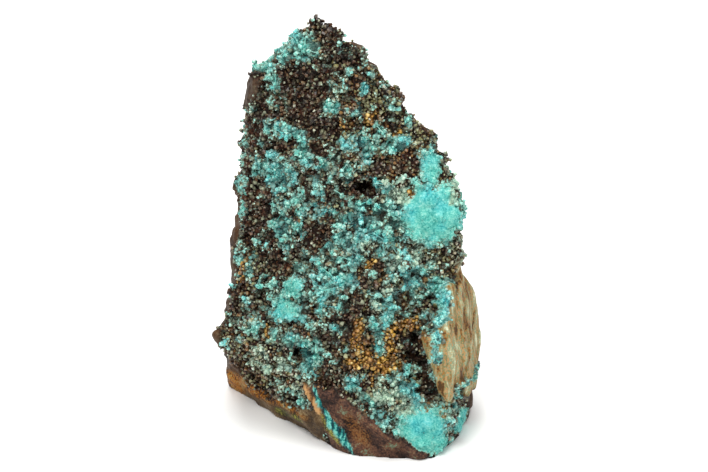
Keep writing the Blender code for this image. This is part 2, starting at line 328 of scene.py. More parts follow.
class Zone(Enum):
    """Areas that fade in along axes: each row has the axis and the places of 0 and 1, mm."""

    SIDE = ((0, -8.0, -10.0), (2, 24.0, 29.0))
    FLANK = ((2, 28.0, 31.0), (2, 45.0, 42.0))
    SHOULDER = ((0, 12.0, 14.0), (2, 24.5, 26.5))
    CREST = ((0, -1.0, -3.0), (2, 49.0, 50.5))
    CORNER = ((0, 12.0, 14.0), (2, 9.5, 8.0))
    CRUST_BACK = ((1, 13.5, 11.5),)
    UNDERCUT = ((0, -1.2, -3.2), (2, 15.5, 13.5), (1, 2.0, 0.0))
    TOOTH = ((0, -18.1, -18.6), (2, 11.2, 11.8), (2, 15.6, 15.0))
    SLAB_STEP = ((2, 18.0, 20.4),)
    SLAB_FRONT = ((2, 27.0, 25.5),)
    SLAB_SIDE = ((0, 14.2, 15.2), (1, 8.6, 4.4), (2, 27.6, 24.8))
    SLAB_REAR = ((1, -11.0, -5.0),)
    FOOT = ((1, 0.0, -2.0),)
    BAND = ((0, -2.6, -3.8),)
    BAND_RISE = ((0, -14.0, -3.0),)
    FORE = ((1, 2.0, -2.0),)
    ASIDE = ((1, 12.0, 9.0),)

    def share(self, points: Array) -> Array:
        """How far each point lies in the area, from 0 to 1."""
        return np.prod([ramp(low, high, points[:, axis]) for axis, low, high in self.value], axis=0)


class Wander(Enum):
    """How what is read wanders: its reach, the distance between its bends in mm, and its seed."""

    FILM = (0.12, 1.1, 31)
    PALE = (0.3, 0.9, 34)
    SMEAR = (0.45, 0.6, 35)
    FRONT = (0.5, 1.6, 61)
    SLAB_PLANE = (0.25, 1.1, 62)
    SLAB_FOOT = (1.2, 1.8, 63)
    FOOT = (0.5, 1.5, 64)
    BAND = (0.9, 2.2, 65)
    TOOTH = (0.6, 1.4, 66)
    SLAB_LEFT = (0.25, 0.9, 67)
    SLAB_STEP = (1.2, 1.3, 68)
    SIDE = (0.3, 4.0, 69)
    CRUST_BACK = (1.0, 2.5, 70)
    FACET = (0.3, 1.8, 71)
    SLAB_TOP = (1.0, 3.0, 72)
    SLAB_SIDE = (0.8, 2.5, 73)
    SLAB_REAR = (2.0, 1.6, 74)

    def at(self, points: Array) -> Array:
        """How much to add to what is read at each point."""
        reach, size, seed = self.value
        return reach * soft_noise(points, size, seed)

    def moved(self, points: Array, axis: int) -> Array:
        """The points, each moved along the axis."""
        return points + self.at(points)[:, None] * np.eye(3)[axis]


@dataclass(frozen=True)
class FrontFace:
    """One of the two planes that the crusted front follows.

    Attributes:
        foot: a point of the plane at the table, mm.
        facing: degrees that it is turned from -Y towards +X.
        lean: degrees that its normal tips up.
    """

    foot: Triple
    facing: float
    lean: float = 15.0

    def above(self, points: Array) -> Array:
        """Distance of each point in front of the plane, mm."""
        return (points - np.array(self.foot)) @ np.array(direction(self.facing, self.lean))


@dataclass
class Ground:
    """What lies where on the stone, read at a set of points.

    Attributes:
        crust: share of druse crust, 0 on bare rock.
        clump: height on the cluster of grains, 0 in the gaps to 1 on top.
        knob: height on the small knobs of a cluster, 0 in the gaps to 1 on top.
        shade: a random number that all of a knob shares.
        film: how thickly chrysocolla is laid on, 0 to about 1.
        smooth: share where the chrysocolla is one even coat.
        gold: share of limonite.
        pale: share of pale druse.
        brown: share of brown druse, the rest being dark.
        cleft: share of the deep cleft beside the slab, which is carved in and coloured near-black as
            painted shade.
        slab: share of the bare slab.
        foot: share of the smooth break at the front foot.
        band: share of the rusty band under the undercut.
        ember: share of the orange stain on the breaks.
        strip: share of the tan strip beside the vein.
        olive: share of the olive stain beside the vein and on the band.
        vein: share of the green vein.
    """

    crust: Array
    clump: Array
    knob: Array
    shade: Array
    film: Array
    smooth: Array
    gold: Array
    pale: Array
    brown: Array
    cleft: Array
    slab: Array
    foot: Array
    band: Array
    ember: Array
    strip: Array
    olive: Array
    vein: Array

    def averaged(self, faces: Array) -> "Ground":
        """The same shares in the middle of each of these faces."""
        return Ground(**{name: values[faces].mean(axis=1) for name, values in vars(self).items()})


@dataclass(frozen=True)
class MineralMap:
    """Says which mineral covers each place of the stone.

    Attributes:
        left: plane of the left crusted face.
        right: plane of the right crusted face.
        cluster: distance between clusters of grains, mm.
        knob: distance between the small knobs of a cluster, mm.
        mixing: how much more chrysocolla the fullest knob holds than the emptiest.
        wrap: how far the crust reaches round the sides and round the lower right corner, mm.
        slab_edge: X of the slab's left edge, and how far its upper part steps right, mm.
        slab_bend: height under which that edge slants, mm, and its slant.
        slab_foot: height of the slab's lower edge, mm, and how much lower it is at the rear.
        foot_edge: X of the left edge of the smooth break, mm.
        foot_bend: height under which that edge slants, mm, and its slant.
        foot_lip: height of the crust's lower edge over it where X is 0, mm, and its slant.
        band_top: height of the rusty band at the left, mm, and its rise to the right.
        facet: middle of the bare facet at the upper left along Y and Z, mm.
        facet_size: its half size along them, mm.
    """

    left: FrontFace = FrontFace((1.594, -16.51, 0.0), -20.0)
    right: FrontFace = FrontFace((10.794, -15.71, 0.0), 8.0)
    cluster: float = 1.9
    knob: float = 0.88
    mixing: float = 0.95
    wrap: tuple[float, float] = (4.5, 7.0)
    slab_edge: tuple[float, float] = (9.7, 3.1)
    slab_bend: tuple[float, float] = (15.0, 0.42)
    slab_foot: tuple[float, float] = (7.2, 3.0)
    foot_edge: float = -6.8
    foot_bend: tuple[float, float] = (9.9, 0.45)
    foot_lip: tuple[float, float] = (8.7, 0.68)
    band_top: tuple[float, float] = (3.6, 2.0)
    facet: tuple[float, float] = (8.5, 47.6)
    facet_size: tuple[float, float] = (7.0, 3.1)

    def above(self, points: Array) -> Array:
        """Distance of each point in front of the crusted faces, mm."""
        return np.maximum(self.left.above(points), self.right.above(points))

    def wrapped(self, points: Array) -> tuple[Array, Array]:
        """How far the crust reaches round an edge at each point.

        Args:
            points: places in millimetres.

        Returns:
            The share along the sides and the crest, and the share at the lower right corner.
        """
        side = Zone.SIDE.share(points) * (1.0 + 0.7 * Zone.FLANK.share(points))
        side *= 1.0 + Wander.SIDE.at(points)
        edges = np.maximum.reduce((side, Zone.SHOULDER.share(points), Zone.CREST.share(points)))
        fore = Zone.CRUST_BACK.share(Wander.CRUST_BACK.moved(points, 1))
        return edges * fore, Zone.CORNER.share(points)

    def reach(self, points: Array) -> Array:
        """How far each point is in front of where the crust ends, mm."""
        edges, corner = self.wrapped(points)
        return self.above(points) + self.wrap[0] * edges + self.wrap[1] * corner

    def lip(self, x: Array) -> Array:
        """Height of the crust's lower edge over the smooth break at the foot, mm."""
        return np.clip(self.foot_lip[0] - self.foot_lip[1] * x, 0.0, self.foot_bend[0])

    def crust(self, points: Array, normals: Array) -> Array:
        """How far each point is crusted.

        Args:
            points: places in millimetres.
            normals: outward directions there.

        Returns:
            The share of crust at each point, from 0 to 1.
        """
        x, _, z = points.T
        edges, corner = self.wrapped(points)
        facing = 0.4 * normals[:, 2] - normals[:, 1] + 0.5 * edges + 0.3 * corner
        front = ramp(-2.6, -1.6, self.reach(points) + Wander.FRONT.at(points))
        front *= ramp(-0.45, 0.0, facing)
        under = ramp(0.1, 0.4, -normals[:, 0]) * ramp(0.0, 0.3, -normals[:, 1])
        under *= Zone.UNDERCUT.share(points)
        away = (points[:, 1:] - np.array(self.facet)) / np.array(self.facet_size)
        away = np.hypot(*away.T) + Wander.FACET.at(points)
        facet = ramp(-11.9, -12.3, x + 0.42 * (50.0 - z)) * ramp(1.1, 0.9, away)
        tooth = Zone.TOOTH.share(Wander.TOOTH.moved(points, 2))
        bare = [self.slab(points), self.foot(points), self.band(points), facet, tooth]
        return np.maximum(front, under) * (1.0 - np.maximum.reduce(bare))

    def slab(self, points: Array) -> Array:
        """How far each point is on the bare slab.

        Args:
            points: places in millimetres.

        Returns:
            The slab's share at each point, from 0 to 1.
        """
        above = self.above(points) + Wander.SLAB_PLANE.at(points)
        x, z = points[:, 0], points[:, 2]
        bend, slant = self.slab_bend
        left = x - self.slab_edge[0] - slant * np.maximum(bend - z, 0.0)
        left -= self.slab_edge[1] * Zone.SLAB_STEP.share(Wander.SLAB_STEP.moved(points, 2))
        left += Wander.SLAB_LEFT.at(points)
        wanders = (Wander.SLAB_SIDE, Wander.SLAB_REAR, Wander.SLAB_TOP)
        moved = points + np.stack([wander.at(points) for wander in wanders], axis=1)
        front = ramp(0.1, 0.5, above) * ramp(-0.2, 0.2, left) * Zone.SLAB_FRONT.share(moved)
        low, drop = self.slab_foot
        edge = z + Wander.SLAB_FOOT.at(points)
        edge += drop * (Zone.SLAB_REAR.share(points) - Patches.SLAB_NOTCH.share(points))
        return np.maximum(front, Zone.SLAB_SIDE.share(moved)) * ramp(low, low + 1.0, edge)

    def foot(self, points: Array) -> Array:
        """How far each point is on the smooth break at the foot.

        Args:
            points: places in millimetres.

        Returns:
            The break's share at each point, from 0 to 1.
        """
        x, z = points[:, 0], points[:, 2] + Wander.FOOT.at(points)
        bend, slant = self.foot_bend
        left = x - self.foot_edge - slant * np.maximum(bend - z, 0.0)
        return ramp(-0.2, 0.2, left) * ramp(0.1, 0.6, self.lip(x) - z) * Zone.FOOT.share(points)

    def band(self, points: Array) -> Array:
        """How far each point is on the bare rusty band.

        Args:
            points: places in millimetres.

        Returns:
            The band's share at each point, from 0 to 1.
        """
        height, rise = self.band_top
        over = points[:, 2] + Wander.BAND.at(points) - height - rise * Zone.BAND_RISE.share(points)
        return ramp(0.4, -0.4, over) * Zone.BAND.share(points)

    def read(self, points: Array, normals: Array) -> Ground:
        """What lies at each point.

        Args:
            points: places in millimetres.
            normals: outward directions there.

        Returns:
            The share of each mineral at each point.
        """
        place = bent(bent(points, 2.6, 0.6, 10), 0.9, 0.45, 20)
        near = bent(points, 1.1, 0.4, 40)
        clump, _ = knobs(bent(points, 1.8, 0.45, 50), self.cluster, 51)
        knob, luck = knobs(bent(points, 0.6, 0.14, 52), self.knob, 53)
        front = ramp(-5.0, -2.5, self.reach(points))
        fore, aside = Zone.FORE.share(points), Zone.ASIDE.share(points)
        dark = Patches.DARK_DRUSE.share(place)
        smooth = Patches.SMOOTH_COAT.share(place) * front
        gold = ramp(0.45, 0.6, Patches.LIMONITE.share(place) + 0.35 * (luck - 0.5)) * front
        film = np.maximum(0.85 * Patches.CHRYSOCOLLA.share(place), Patches.MIXED.share(place))
        film = np.maximum(film, 0.15) - 0.6 * dark - 0.4 * gold
        film += Wander.FILM.at(points) + 0.3 * (clump - 0.45)
        film += self.mixing * (1.0 - smooth) * (luck - 0.5) + 0.35 * smooth
        pale = Patches.PALE_DRUSE.share(place) + Wander.PALE.at(points)
        brown = np.maximum(Patches.BROWN_DRUSE.share(place), 0.3) - 0.8 * dark
        slab = self.slab(points)
        smear = Patches.SLAB_SMEARS.share(near) + Wander.SMEAR.at(points)
        film = np.where(slab > 0.5, 1.4 * smear - 0.35, film)
        return Ground(
            crust=self.crust(points, normals),
            clump=clump,
            knob=knob,
            shade=(luck * 57.31) % 1.0,
            film=np.clip(film * front, 0.0, 1.2),
            smooth=smooth,
            gold=gold,
            pale=ramp(0.4, 0.8, pale) * front,
            brown=np.clip(brown, 0.0, 1.0),
            cleft=Patches.CLEFT.share(near) * (1.0 - slab) * fore,
            slab=slab,
            foot=self.foot(points),
            band=self.band(points),
            ember=Patches.EMBER_BREAK.share(near) * aside,
            strip=ramp(0.3, 0.6, Patches.TAN_STRIP.share(near)) * fore,
            olive=ramp(0.3, 0.7, Patches.OLIVE_EDGE.share(near)) * aside,
            vein=ramp(0.25, 0.6, Patches.GREEN_VEIN.share(near)) * fore,
        )


# Colours and nodes


def linear(colour: str) -> tuple[float, float, float, float]:
    """The linear red, green, blue and alpha of an sRGB hex value, such as "#40a0a0"."""
    parts = [int(colour[i : i + 2], 16) / 255.0 for i in (1, 3, 5)]
    return (*(c / 12.92 if c <= 0.04045 else ((c + 0.055) / 1.055) ** 2.4 for c in parts), 1.0)


def add(
    tree: bpy.types.NodeTree,
    kind: str,
    inputs: dict[str | int, object] | None = None,
    stops: Stops = (),
    output: int = 0,
    **settings: object,
) -> Socket:
    """Adds a node with its settings and links.

    Args:
        tree: the node tree.
        kind: Blender's name of the node's type, without the words in front.
        inputs: value, sRGB hex colour or output socket for each named or numbered input.
        stops: sRGB hex colour at each place of the node's own ramp, from low to high.
        output: number of the output that is wanted.
        **settings: the node's own properties.

    Returns:
        The wanted output socket.
    """
    node = tree.nodes.new("ShaderNode" + kind)
    for name, value in settings.items():
        setattr(node, name, value)
    for name, value in (inputs or {}).items():
        if isinstance(value, Socket):
            tree.links.new(value, node.inputs[name])
        else:
            node.inputs[name].default_value = linear(value) if isinstance(value, str) else value
    for number, (place, colour) in enumerate(stops):
        row = node.color_ramp.elements
        element = row[number] if number < len(row) else row.new(place)
        element.position = place
        element.color = linear(colour)
    return node.outputs[output]


# Chrysocolla from its deep roots to its pale tips, partly its own colours and partly painted shade at
# the roots and painted light on the tips: the greener, the bluer and the pale sort
FILM_SORTS = (
    ((0.0, "#124b48"), (0.22, "#2c827a"), (0.42, "#56b0a2"), (0.68, "#90d0c0"), (0.95, "#d0ecdd")),
    ((0.0, "#104b56"), (0.22, "#26878e"), (0.42, "#4cb4b4"), (0.68, "#86d2cc"), (0.95, "#c8ece4")),
    ((0.0, "#6c8a74"), (0.4, "#a2bea2"), (0.8, "#d5dfc6")),
)


@dataclass(frozen=True)
class Finish:
    """What every finish of the stone shares.

    Attributes:
        name: the material's name.
        roughness: how dull the bare grains are, 0 to 1.
        film_roughness: how dull the chrysocolla over them is, 0 to 1.
        ior: index of refraction.
        shine: how much of its mirror light is left after the pores have taken theirs; 0.5 is all.
        film_grain: size of the holes in the chrysocolla film, mm.
        film_grit: size of its pale and deep flecks, mm.
        film_cloud: size of the clouds in its even coats, mm.
        film_hue: distance between its greener and its bluer parts, mm.
        sheen: how strongly its fine fibres catch the light at the edges, 0 to 1.
    """

    name: str
    roughness: float = 0.7
    film_roughness: float = 0.75
    ior: float = 1.5
    shine: float = 0.5
    film_grain: float = 0.45
    film_grit: float = 0.28
    film_cloud: float = 1.3
    film_hue: float = 10.0 / 3.0
    sheen: float = 0.0

    def start(self) -> tuple[bpy.types.NodeTree, bpy.types.Node, Socket]:
        """A new material with its numbers set.

        Returns:
            The node tree, its shader and the place on the stone in millimetres.
        """
        material = bpy.data.materials.new(self.name)
        material.use_nodes = True
        tree = material.node_tree
        shader = tree.nodes["Principled BSDF"]
        for name, value in {
            "Roughness": self.roughness,
            "IOR": self.ior,
            "Specular IOR Level": self.shine,
            "Sheen Weight": self.sheen,
            "Sheen Roughness": 0.4,
            "Sheen Tint": linear("#e6f5ec"),
        }.items():
            shader.inputs[name].default_value = value
        place = add(tree, "TexCoord", output=3)
        place = add(tree, "VectorMath", {0: place, "Scale": 1.0 / MM}, operation="SCALE")
        return tree, shader, place

    def under_film(
        self,
        tree: bpy.types.NodeTree,
        place: Socket,
        bare: Socket,
        tip: Socket | float,
        tint: Socket | float,
    ) -> tuple[Socket, Socket]:
        """Lays the broken film of chrysocolla over a colour.

        Args:
            tree: the node tree.
            place: the place on the stone in millimetres.
            bare: the colour under the film.
            tip: height on the grain, 0 to 1; tips hold more film than roots, and a paler one, partly as
                painted light on the tops.
            tint: the grain's own random number.

        Returns:
            The colour, and how far the film covers it.
        """
        node = partial(add, tree)
        film, pale, clump, knob, smooth = (
            node("Attribute", output=2, attribute_name=name)
            for name in ("film", "pale", "clump", "knob", "smooth")
        )
        fine, grit, cloud, hue = (
            node("TexNoise", {"Vector": place, "Scale": 1.0 / size, **more})
            for size, more in (
                (self.film_grain, {"Detail": 4.0, "Roughness": 0.7}),
                (self.film_grit, {"Detail": 3.0, "Roughness": 0.75}),
                (self.film_cloud, {"Distortion": 0.6}),
                (self.film_hue, {}),
            )
        )
        # Sums of patterns, each with its weight: how much film, its tone (paler on the tips as painted
        # light), its clouds, how far they and the even colour of the smooth coats show, and how far the
        # pale sort does
        sums = []
        for total, parts in (
            (film, ((fine, 2.4), (tip, 0.5))),
            (-1.54, ((grit, 1.8), (fine, 1.1), (tip, 0.7), (tint, 0.3))),
            (-0.44, ((cloud, 1.5),)),
            (0.0, ((smooth, 0.4),)),
            (0.0, ((smooth, 0.12),)),
            (0.0, ((pale, 0.85),)),
        ):
            for pattern, weight in parts:
                total = node("Math", {0: pattern, 1: weight, 2: total}, operation="MULTIPLY_ADD")
            sums.append(total)
        level, tone, cloud, clouded, evened, mint = sums
        near, edge, clump_gap_shade, gap, bluer = (
            node("MapRange", {"Value": value, "From Min": low, "From Max": high, "To Max": most})
            for value, low, high, most in (
                (level, 1.65, 2.05, 1.3),
                (level, 2.3, 2.1, 0.6),
                (clump, 0.35, 0.0, 0.38),
                (knob, 0.4, 0.05, 0.8),
                (hue, 0.42, 0.64, 1.0),
            )
        )
        limits = {"Value": level, "From Min": 2.02, "From Max": 2.14}
        cover = node("MapRange", limits, interpolation_type="SMOOTHSTEP")
        haze = node("Math", {0: near, 1: film}, operation="MULTIPLY")
        haze = node("Math", {0: haze, 1: 0.5}, operation="MINIMUM")
        tone = node("Mix", {0: clouded, 2: tone, 3: cloud}, data_type="FLOAT")
        green, blue, pale = (node("ValToRGB", {"Fac": tone}, stops) for stops in FILM_SORTS)
        bare = node("Mix", {0: haze, 6: bare, 7: "#8fa58a"}, **RGBA)
        colour = green
        for share, over in (
            (bluer, blue),
            (evened, "#3aa8a4"),
            (mint, pale),
            # Deep teal in the gaps between clusters: painted shade
            (edge, "#b7dacb"),
            (clump_gap_shade, "#0f4a50"),
        ):
            colour = node("Mix", {0: share, 6: colour, 7: over}, **RGBA)
        colour = node("Mix", {0: cover, 6: bare, 7: colour}, **RGBA)
        # Near-black in the gaps between the knobs: painted shade
        return node("Mix", {0: gap, 6: colour, 7: "#110a06"}, **RGBA), cover

    def made(self) -> bpy.types.Material:
        """The material with this finish's name."""
        return bpy.data.materials[self.name]


@dataclass(frozen=True)
class StainedRock(Finish):
    """Broken siliceous rock stained by iron, with what shows of each mineral between grains.

    It gives the eye a dull brown ground, darker in the hollows as painted shade, with streaked tan
    on the slab, orange and olive along the foot and a soft blue-green where the chrysocolla coats it.

    Attributes:
        grain: size of the rock's grains, mm; real ones are near 0.1 mm, too fine to show.
        stain: size of the iron stains, mm.
        lamina: thickness of the slab's layers, mm.
        bed: thickness of the beds of the rock, mm.
        rust: size of the limonite stains on the plain rock, mm.
        relief: height of the bump of the grains, mm.
        rock_stops: colours of the plain rock over its pattern.
        grounds: each share of the ground that is laid over it, with its pattern and colours.
    """

    name: str = "iron_stained_rock_broken"
    roughness: float = 0.62
    shine: float = 0.15
    grain: float = 0.3
    stain: float = 3.2
    lamina: float = 0.8
    bed: float = 1.2
    rust: float = 9.0
    relief: float = 0.12
    rock_stops: Stops = (
        (0.3, "#150f0b"), (0.41, "#2c1f17"), (0.49, "#3f2e22"), (0.55, "#4c3a2c"),
        (0.61, "#493f32"), (0.69, "#625441"), (0.82, "#837153"),
    )
    grounds: tuple[tuple[str, str, Stops], ...] = (
        ("slab", "layer", (
            (0.26, "#4a3419"), (0.35, "#7a542c"), (0.42, "#9c6f3b"), (0.47, "#62714e"),
            (0.52, "#72805e"), (0.56, "#ad7f4c"), (0.62, "#ab8a62"), (0.67, "#708768"),
            (0.72, "#8a9d80"), (0.77, "#b6986c"), (0.84, "#a5b494"), (0.93, "#d0d0b2"),
        )),
        ("foot", "rock", (
            (0.3, "#120c0a"), (0.42, "#33231e"), (0.52, "#53392d"), (0.6, "#6c4a35"),
            (0.67, "#5e6c56"), (0.8, "#98a085"),
        )),
        ("band", "rock", ((0.32, "#33261a"), (0.46, "#54412b"), (0.6, "#6f5c42"), (0.74, "#93805c"))),
        ("ember", "speck", (
            (0.32, "#2c1a0a"), (0.42, "#7a4814"), (0.52, "#b4701d"), (0.6, "#7d6436"),
            (0.72, "#a8955f"),
        )),
        ("strip", "layer", ((0.3, "#5a4128"), (0.48, "#9a6e40"), (0.62, "#bd9160"))),
        ("olive", "speck", ((0.34, "#35301a"), (0.5, "#68672f"), (0.62, "#95913f"))),
        # The crust's ground between the grains is near-black: partly its own dark oxide, partly painted
        # shade in the gaps
        ("crust", "speck", ((0.3, "#080403"), (0.5, "#22110a"), (0.65, "#462414"), (0.8, "#4d3a26"))),
        ("gold", "grain", ((0.32, "#1e1208"), (0.5, "#61401a"), (0.68, "#a47a30"))),
        # In the cleft beside the slab the rock is near-black: painted shade
        ("cleft", "grain", ((0.35, "#0c0603"), (0.7, "#38200f"))),
        ("vein", "layer", ((0.34, "#0a2426"), (0.46, "#12525a"), (0.54, "#21817a"), (0.66, "#74c2b6"))),
    )

    def build(self) -> None:
        """Makes the material."""
        tree, shader, place = self.start()
        node = partial(add, tree)
        turned = {"Vector": place, "Rotation": (0.0, -0.08, 0.0), "Scale": (1.0, 1.0, 0.14)}
        upright = node("Mapping", turned)
        turned = {"Vector": place, "Rotation": (0.45, 0.6, 0.0), "Scale": (6.0, 6.0, 1.0)}
        tilted = node("Mapping", turned, vector_type="TEXTURE")
        stain, grain, streak, bedding, rust = (
            node("TexNoise", {"Vector": at, "Scale": 1.0 / size, "Detail": detail, "Roughness": rough})
            for at, size, detail, rough in (
                (place, self.stain, 5.0, 0.65),
                (place, self.grain, 1.5, 0.6),
                (upright, self.lamina, 2.0, 0.6),
                (tilted, self.bed, 3.0, 0.6),
                (place, self.rust, 5.0, 0.65),
            )
        )
        # Each pattern is a number added to the stains and to other patterns, each with its weight
        patterns = {"grain": grain}
        for name, total, parts in (
            ("rock", -0.45, ((stain, 1.0), (bedding, 0.4), (grain, 0.5))),
            ("speck", -0.5, ((stain, 1.0), (grain, 1.0))),
            ("layer", -0.92, ((stain, 1.0), (streak, 1.4), (grain, 0.5))),
        ):
            for pattern, weight in parts:
                total = node("Math", {0: pattern, 1: weight, 2: total}, operation="MULTIPLY_ADD")
            patterns[name] = total
        limits = {"Value": rust, "From Min": 0.48, "From Max": 0.66, "To Max": 0.45}
        rusty = node("MapRange", limits)
        colour = node("ValToRGB", {"Fac": patterns["rock"]}, self.rock_stops)
        colour = node("Mix", {0: rusty, 6: colour, 7: "#6e4a26"}, **RGBA)
        for name, pattern, stops in self.grounds:
            over = node("ValToRGB", {"Fac": patterns[pattern]}, stops)
            share = node("Attribute", output=2, attribute_name=name)
            colour = node("Mix", {0: share, 6: colour, 7: over}, **RGBA)
        colour, _ = self.under_film(tree, place, colour, 0.7, 0.45)
        tree.links.new(colour, shader.inputs["Base Color"])
        bump = node("Bump", {"Height": grain, "Strength": 0.7, "Distance": self.relief * MM})
        tree.links.new(bump, shader.inputs["Normal"])


@dataclass(frozen=True)
class DruseFinish(Finish):
    """Tiny crystals and beads grown in the open, coloured from grain to grain.

    Attributes:
        low: stops of the colour at the root of a grain, over its own random number; darker than
            the tip partly as painted shade.
        high: stops of the colour at its tip, paler than the root partly as painted light on the tops.
        frost: sRGB hex colour of the thin quartz skin that some of the tips carry.
        texture: size of the fine bump, mm.
        bump: height of the fine bump, mm.
    """

    low: Stops = ()
    high: Stops = ()
    frost: str = "#b4b698"
    texture: float = 0.15
    bump: float = 0.03

    def build(self) -> None:
        """Makes the material."""
        tree, shader, place = self.start()
        node = partial(add, tree)
        tint = node("Attribute", output=2, attribute_name="tint")
        tip = node("Attribute", output=2, attribute_name="tip")
        root, tip_colour_and_light = (node("ValToRGB", {"Fac": tint}, stops) for stops in (self.low, self.high))
        fine = node("TexNoise", {"Vector": place, "Scale": 1.0 / self.texture})
        skin = node("Math", {0: tip, 1: 0.3, 2: fine}, operation="MULTIPLY_ADD")
        skin = node("MapRange", {"Value": skin, "From Min": 0.76, "From Max": 0.94, "To Max": 0.5})
        # Up each grain the colour goes from the root stops to the paler tip stops: partly its own
        # colours, partly painted shade at the roots and painted light on the tips
        rise = node("MapRange", {"Value": tip, "From Min": 0.25, "From Max": 0.9})
        bare = node("Mix", {0: rise, 6: root, 7: tip_colour_and_light}, **RGBA)
        bare = node("Mix", {0: skin, 6: bare, 7: self.frost}, **RGBA)
        colour, cover = self.under_film(tree, place, bare, tip, tint)
        tree.links.new(colour, shader.inputs["Base Color"])
        limits = {"Value": cover, "To Min": self.roughness, "To Max": self.film_roughness}
        tree.links.new(node("MapRange", limits), shader.inputs["Roughness"])
        if self.bump > 0.0:
            bump = node("Bump", {"Height": fine, "Strength": 0.6, "Distance": self.bump * MM})
            tree.links.new(bump, shader.inputs["Normal"])


# Goethite and manganese oxide grown as tiny crystals: nearly black brown, with a waxy shine
DARK_DRUSE = DruseFinish(
    name="goethite_druse_grown",
    roughness=0.36,
    ior=1.6,
    shine=0.3,
    low=((0.0, "#060403"), (0.5, "#120a06"), (1.0, "#21130b")),
    high=(
        (0.1, "#1f110a"), (0.27, "#502b17"), (0.42, "#493b29"),
        (0.56, "#6d4527"), (0.72, "#6b6a52"), (0.92, "#9aa288"),
    ),
    texture=0.2,
)
# Quartz druse stained by limonite: olive, tan and grey grains with glassy glints
BROWN_DRUSE = DruseFinish(
    name="stained_quartz_druse_grown",
    roughness=0.3,
    ior=1.544,
    low=((0.0, "#120c07"), (0.5, "#241a0f"), (1.0, "#33281a")),
    high=(
        (0.05, "#3a210f"), (0.22, "#744722"), (0.4, "#8a5f2c"),
        (0.55, "#7c7446"), (0.72, "#94956a"), (0.92, "#bdbf98"),
    ),
    texture=0.2,
)
# Chrysocolla grown as tufts of beads: deep blue-green roots and pale tips, partly its own colours and
# partly painted shade at the roots and painted light on the tips
BLUE_CRUST = DruseFinish(
    name="chrysocolla_crust_grown",
    ior=1.46,
    shine=0.2,
    sheen=0.3,
    low=((0.0, "#0b4650"), (0.5, "#136672"), (1.0, "#20797b")),
    high=((0.0, "#2d8d97"), (0.35, "#4aa6ac"), (0.7, "#70bcba"), (1.0, "#a3d3cb")),
    texture=0.12,
    bump=0.06,
)
# Chrysocolla grown as hair-fine needles and threads: a pale cottony bloom on the tufts
BLUE_BLOOM = DruseFinish(
    name="chrysocolla_needles_grown",
    ior=1.46,
    low=((0.0, "#2f8f96"), (1.0, "#5fb0ae")),
    high=((0.0, "#6fbcbb"), (0.6, "#93cbc6"), (1.0, "#bfe0d8")),
    bump=0.0,
)
# Limonite grown as ochre beads: warm gold to rust, with a resinous shine
OCHRE_GRAINS = DruseFinish(
    name="limonite_beads_grown",
    roughness=0.34,
    ior=1.6,
    low=((0.0, "#201208"), (0.6, "#40270f"), (1.0, "#5c3b16")),
    high=((0.1, "#693d10"), (0.35, "#a56a1e"), (0.6, "#c99534"), (0.8, "#dfb04a"), (0.95, "#ead18c")),
    frost="#cdb882",
    texture=0.18,
)
# Quartz grown as tiny points over the oxide: pale, glassy grains, partly real quartz and partly painted
# glints where pale specks stand in for highlights
PALE_QUARTZ_AND_PAINTED_GLINTS = DruseFinish(
    name="quartz_points_grown",
    roughness=0.18,
    ior=1.544,
    low=((0.0, "#4d4034"), (1.0, "#7a705f")),
    high=((0.0, "#8c7c62"), (0.5, "#aeae94"), (1.0, "#d3d4bc")),
    frost="#dadbc4",
    bump=0.0,
)


# Meshes


def placed(name: str, data: bpy.types.ID) -> bpy.types.Object:
    """A new object in the scene.

    Args:
        name: its name.
        data: the mesh, light or camera that it holds.

    Returns:
        The object.
    """
    made = bpy.data.objects.new(name, data)
    bpy.context.scene.collection.objects.link(made)
    return made


def gathered(corners: Array, vectors: Array, count: int) -> Array:
    """Sums of the vectors that fall to each corner, from the corner number of each vector."""
    return np.stack([np.bincount(corners, part, count) for part in vectors.T], axis=1)


@dataclass
class Surface:
    """A closed surface held as arrays, in millimetres.

    Attributes:
        points: corners.
        faces: corner numbers, four to a face.
        normals: outward direction at each corner.
    """

    points: Array
    faces: Array
    normals: Array

    def relaxed(self, rounds: int) -> Array:
        """The corners drawn halfway to the middle of their neighbours.

        Args:
            rounds: how many times.

        Returns:
            The moved corners.
        """
        starts = self.faces.reshape(-1)
        ends = np.roll(self.faces, -1, axis=1).reshape(-1)
        points, whole = self.points, len(self.points)
        count = np.bincount(starts, minlength=whole) + np.bincount(ends, minlength=whole)
        for _ in range(rounds):
            total = gathered(starts, points[ends], whole) + gathered(ends, points[starts], whole)
            points = points + 0.5 * (total / np.maximum(count, 1)[:, None] - points)
        return points

    def refreshed(self, points: Array) -> "Surface":
        """The same faces on moved corners, with new normals.

        Args:
            points: the moved corners, mm.

        Returns:
            The new surface.
        """
        a, b, c, d = (points[corners] for corners in self.faces.T)
        across = np.cross(c - a, d - b)
        normals = sum(gathered(corners, across, len(points)) for corners in self.faces.T)
        return Surface(points, self.faces, unit(normals))


def packed_surface(voxel: float) -> Surface:
    """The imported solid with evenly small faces.

    Args:
        voxel: size of a face, mm.

    Returns:
        The surface, in millimetres.
    """
    source = bmesh.new()
    source.from_mesh(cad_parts[NODE].data)
    bmesh.ops.remove_doubles(source, verts=source.verts, dist=1e-7)
    bmesh.ops.scale(source, vec=(1.0 / MM,) * 3, verts=source.verts)
    mesh = bpy.data.meshes.new("remeshed")
    source.to_mesh(mesh)
    source.free()
    carrier = placed("carrier", mesh)
    modifier = carrier.modifiers.new("Remesh", "REMESH")
    modifier.mode = "VOXEL"
    modifier.voxel_size = voxel
    made = carrier.evaluated_get(bpy.context.evaluated_depsgraph_get()).to_mesh()
    points = np.zeros(len(made.vertices) * 3)
    made.vertices.foreach_get("co", points)
    corners = np.zeros(len(made.loops), dtype=np.int64)
    made.loops.foreach_get("vertex_index", corners)
    bpy.data.objects.remove(carrier)
    bpy.data.meshes.remove(mesh)
    points = points.reshape(-1, 3)
    return Surface(points, corners.reshape(-1, 4), points).refreshed(points)


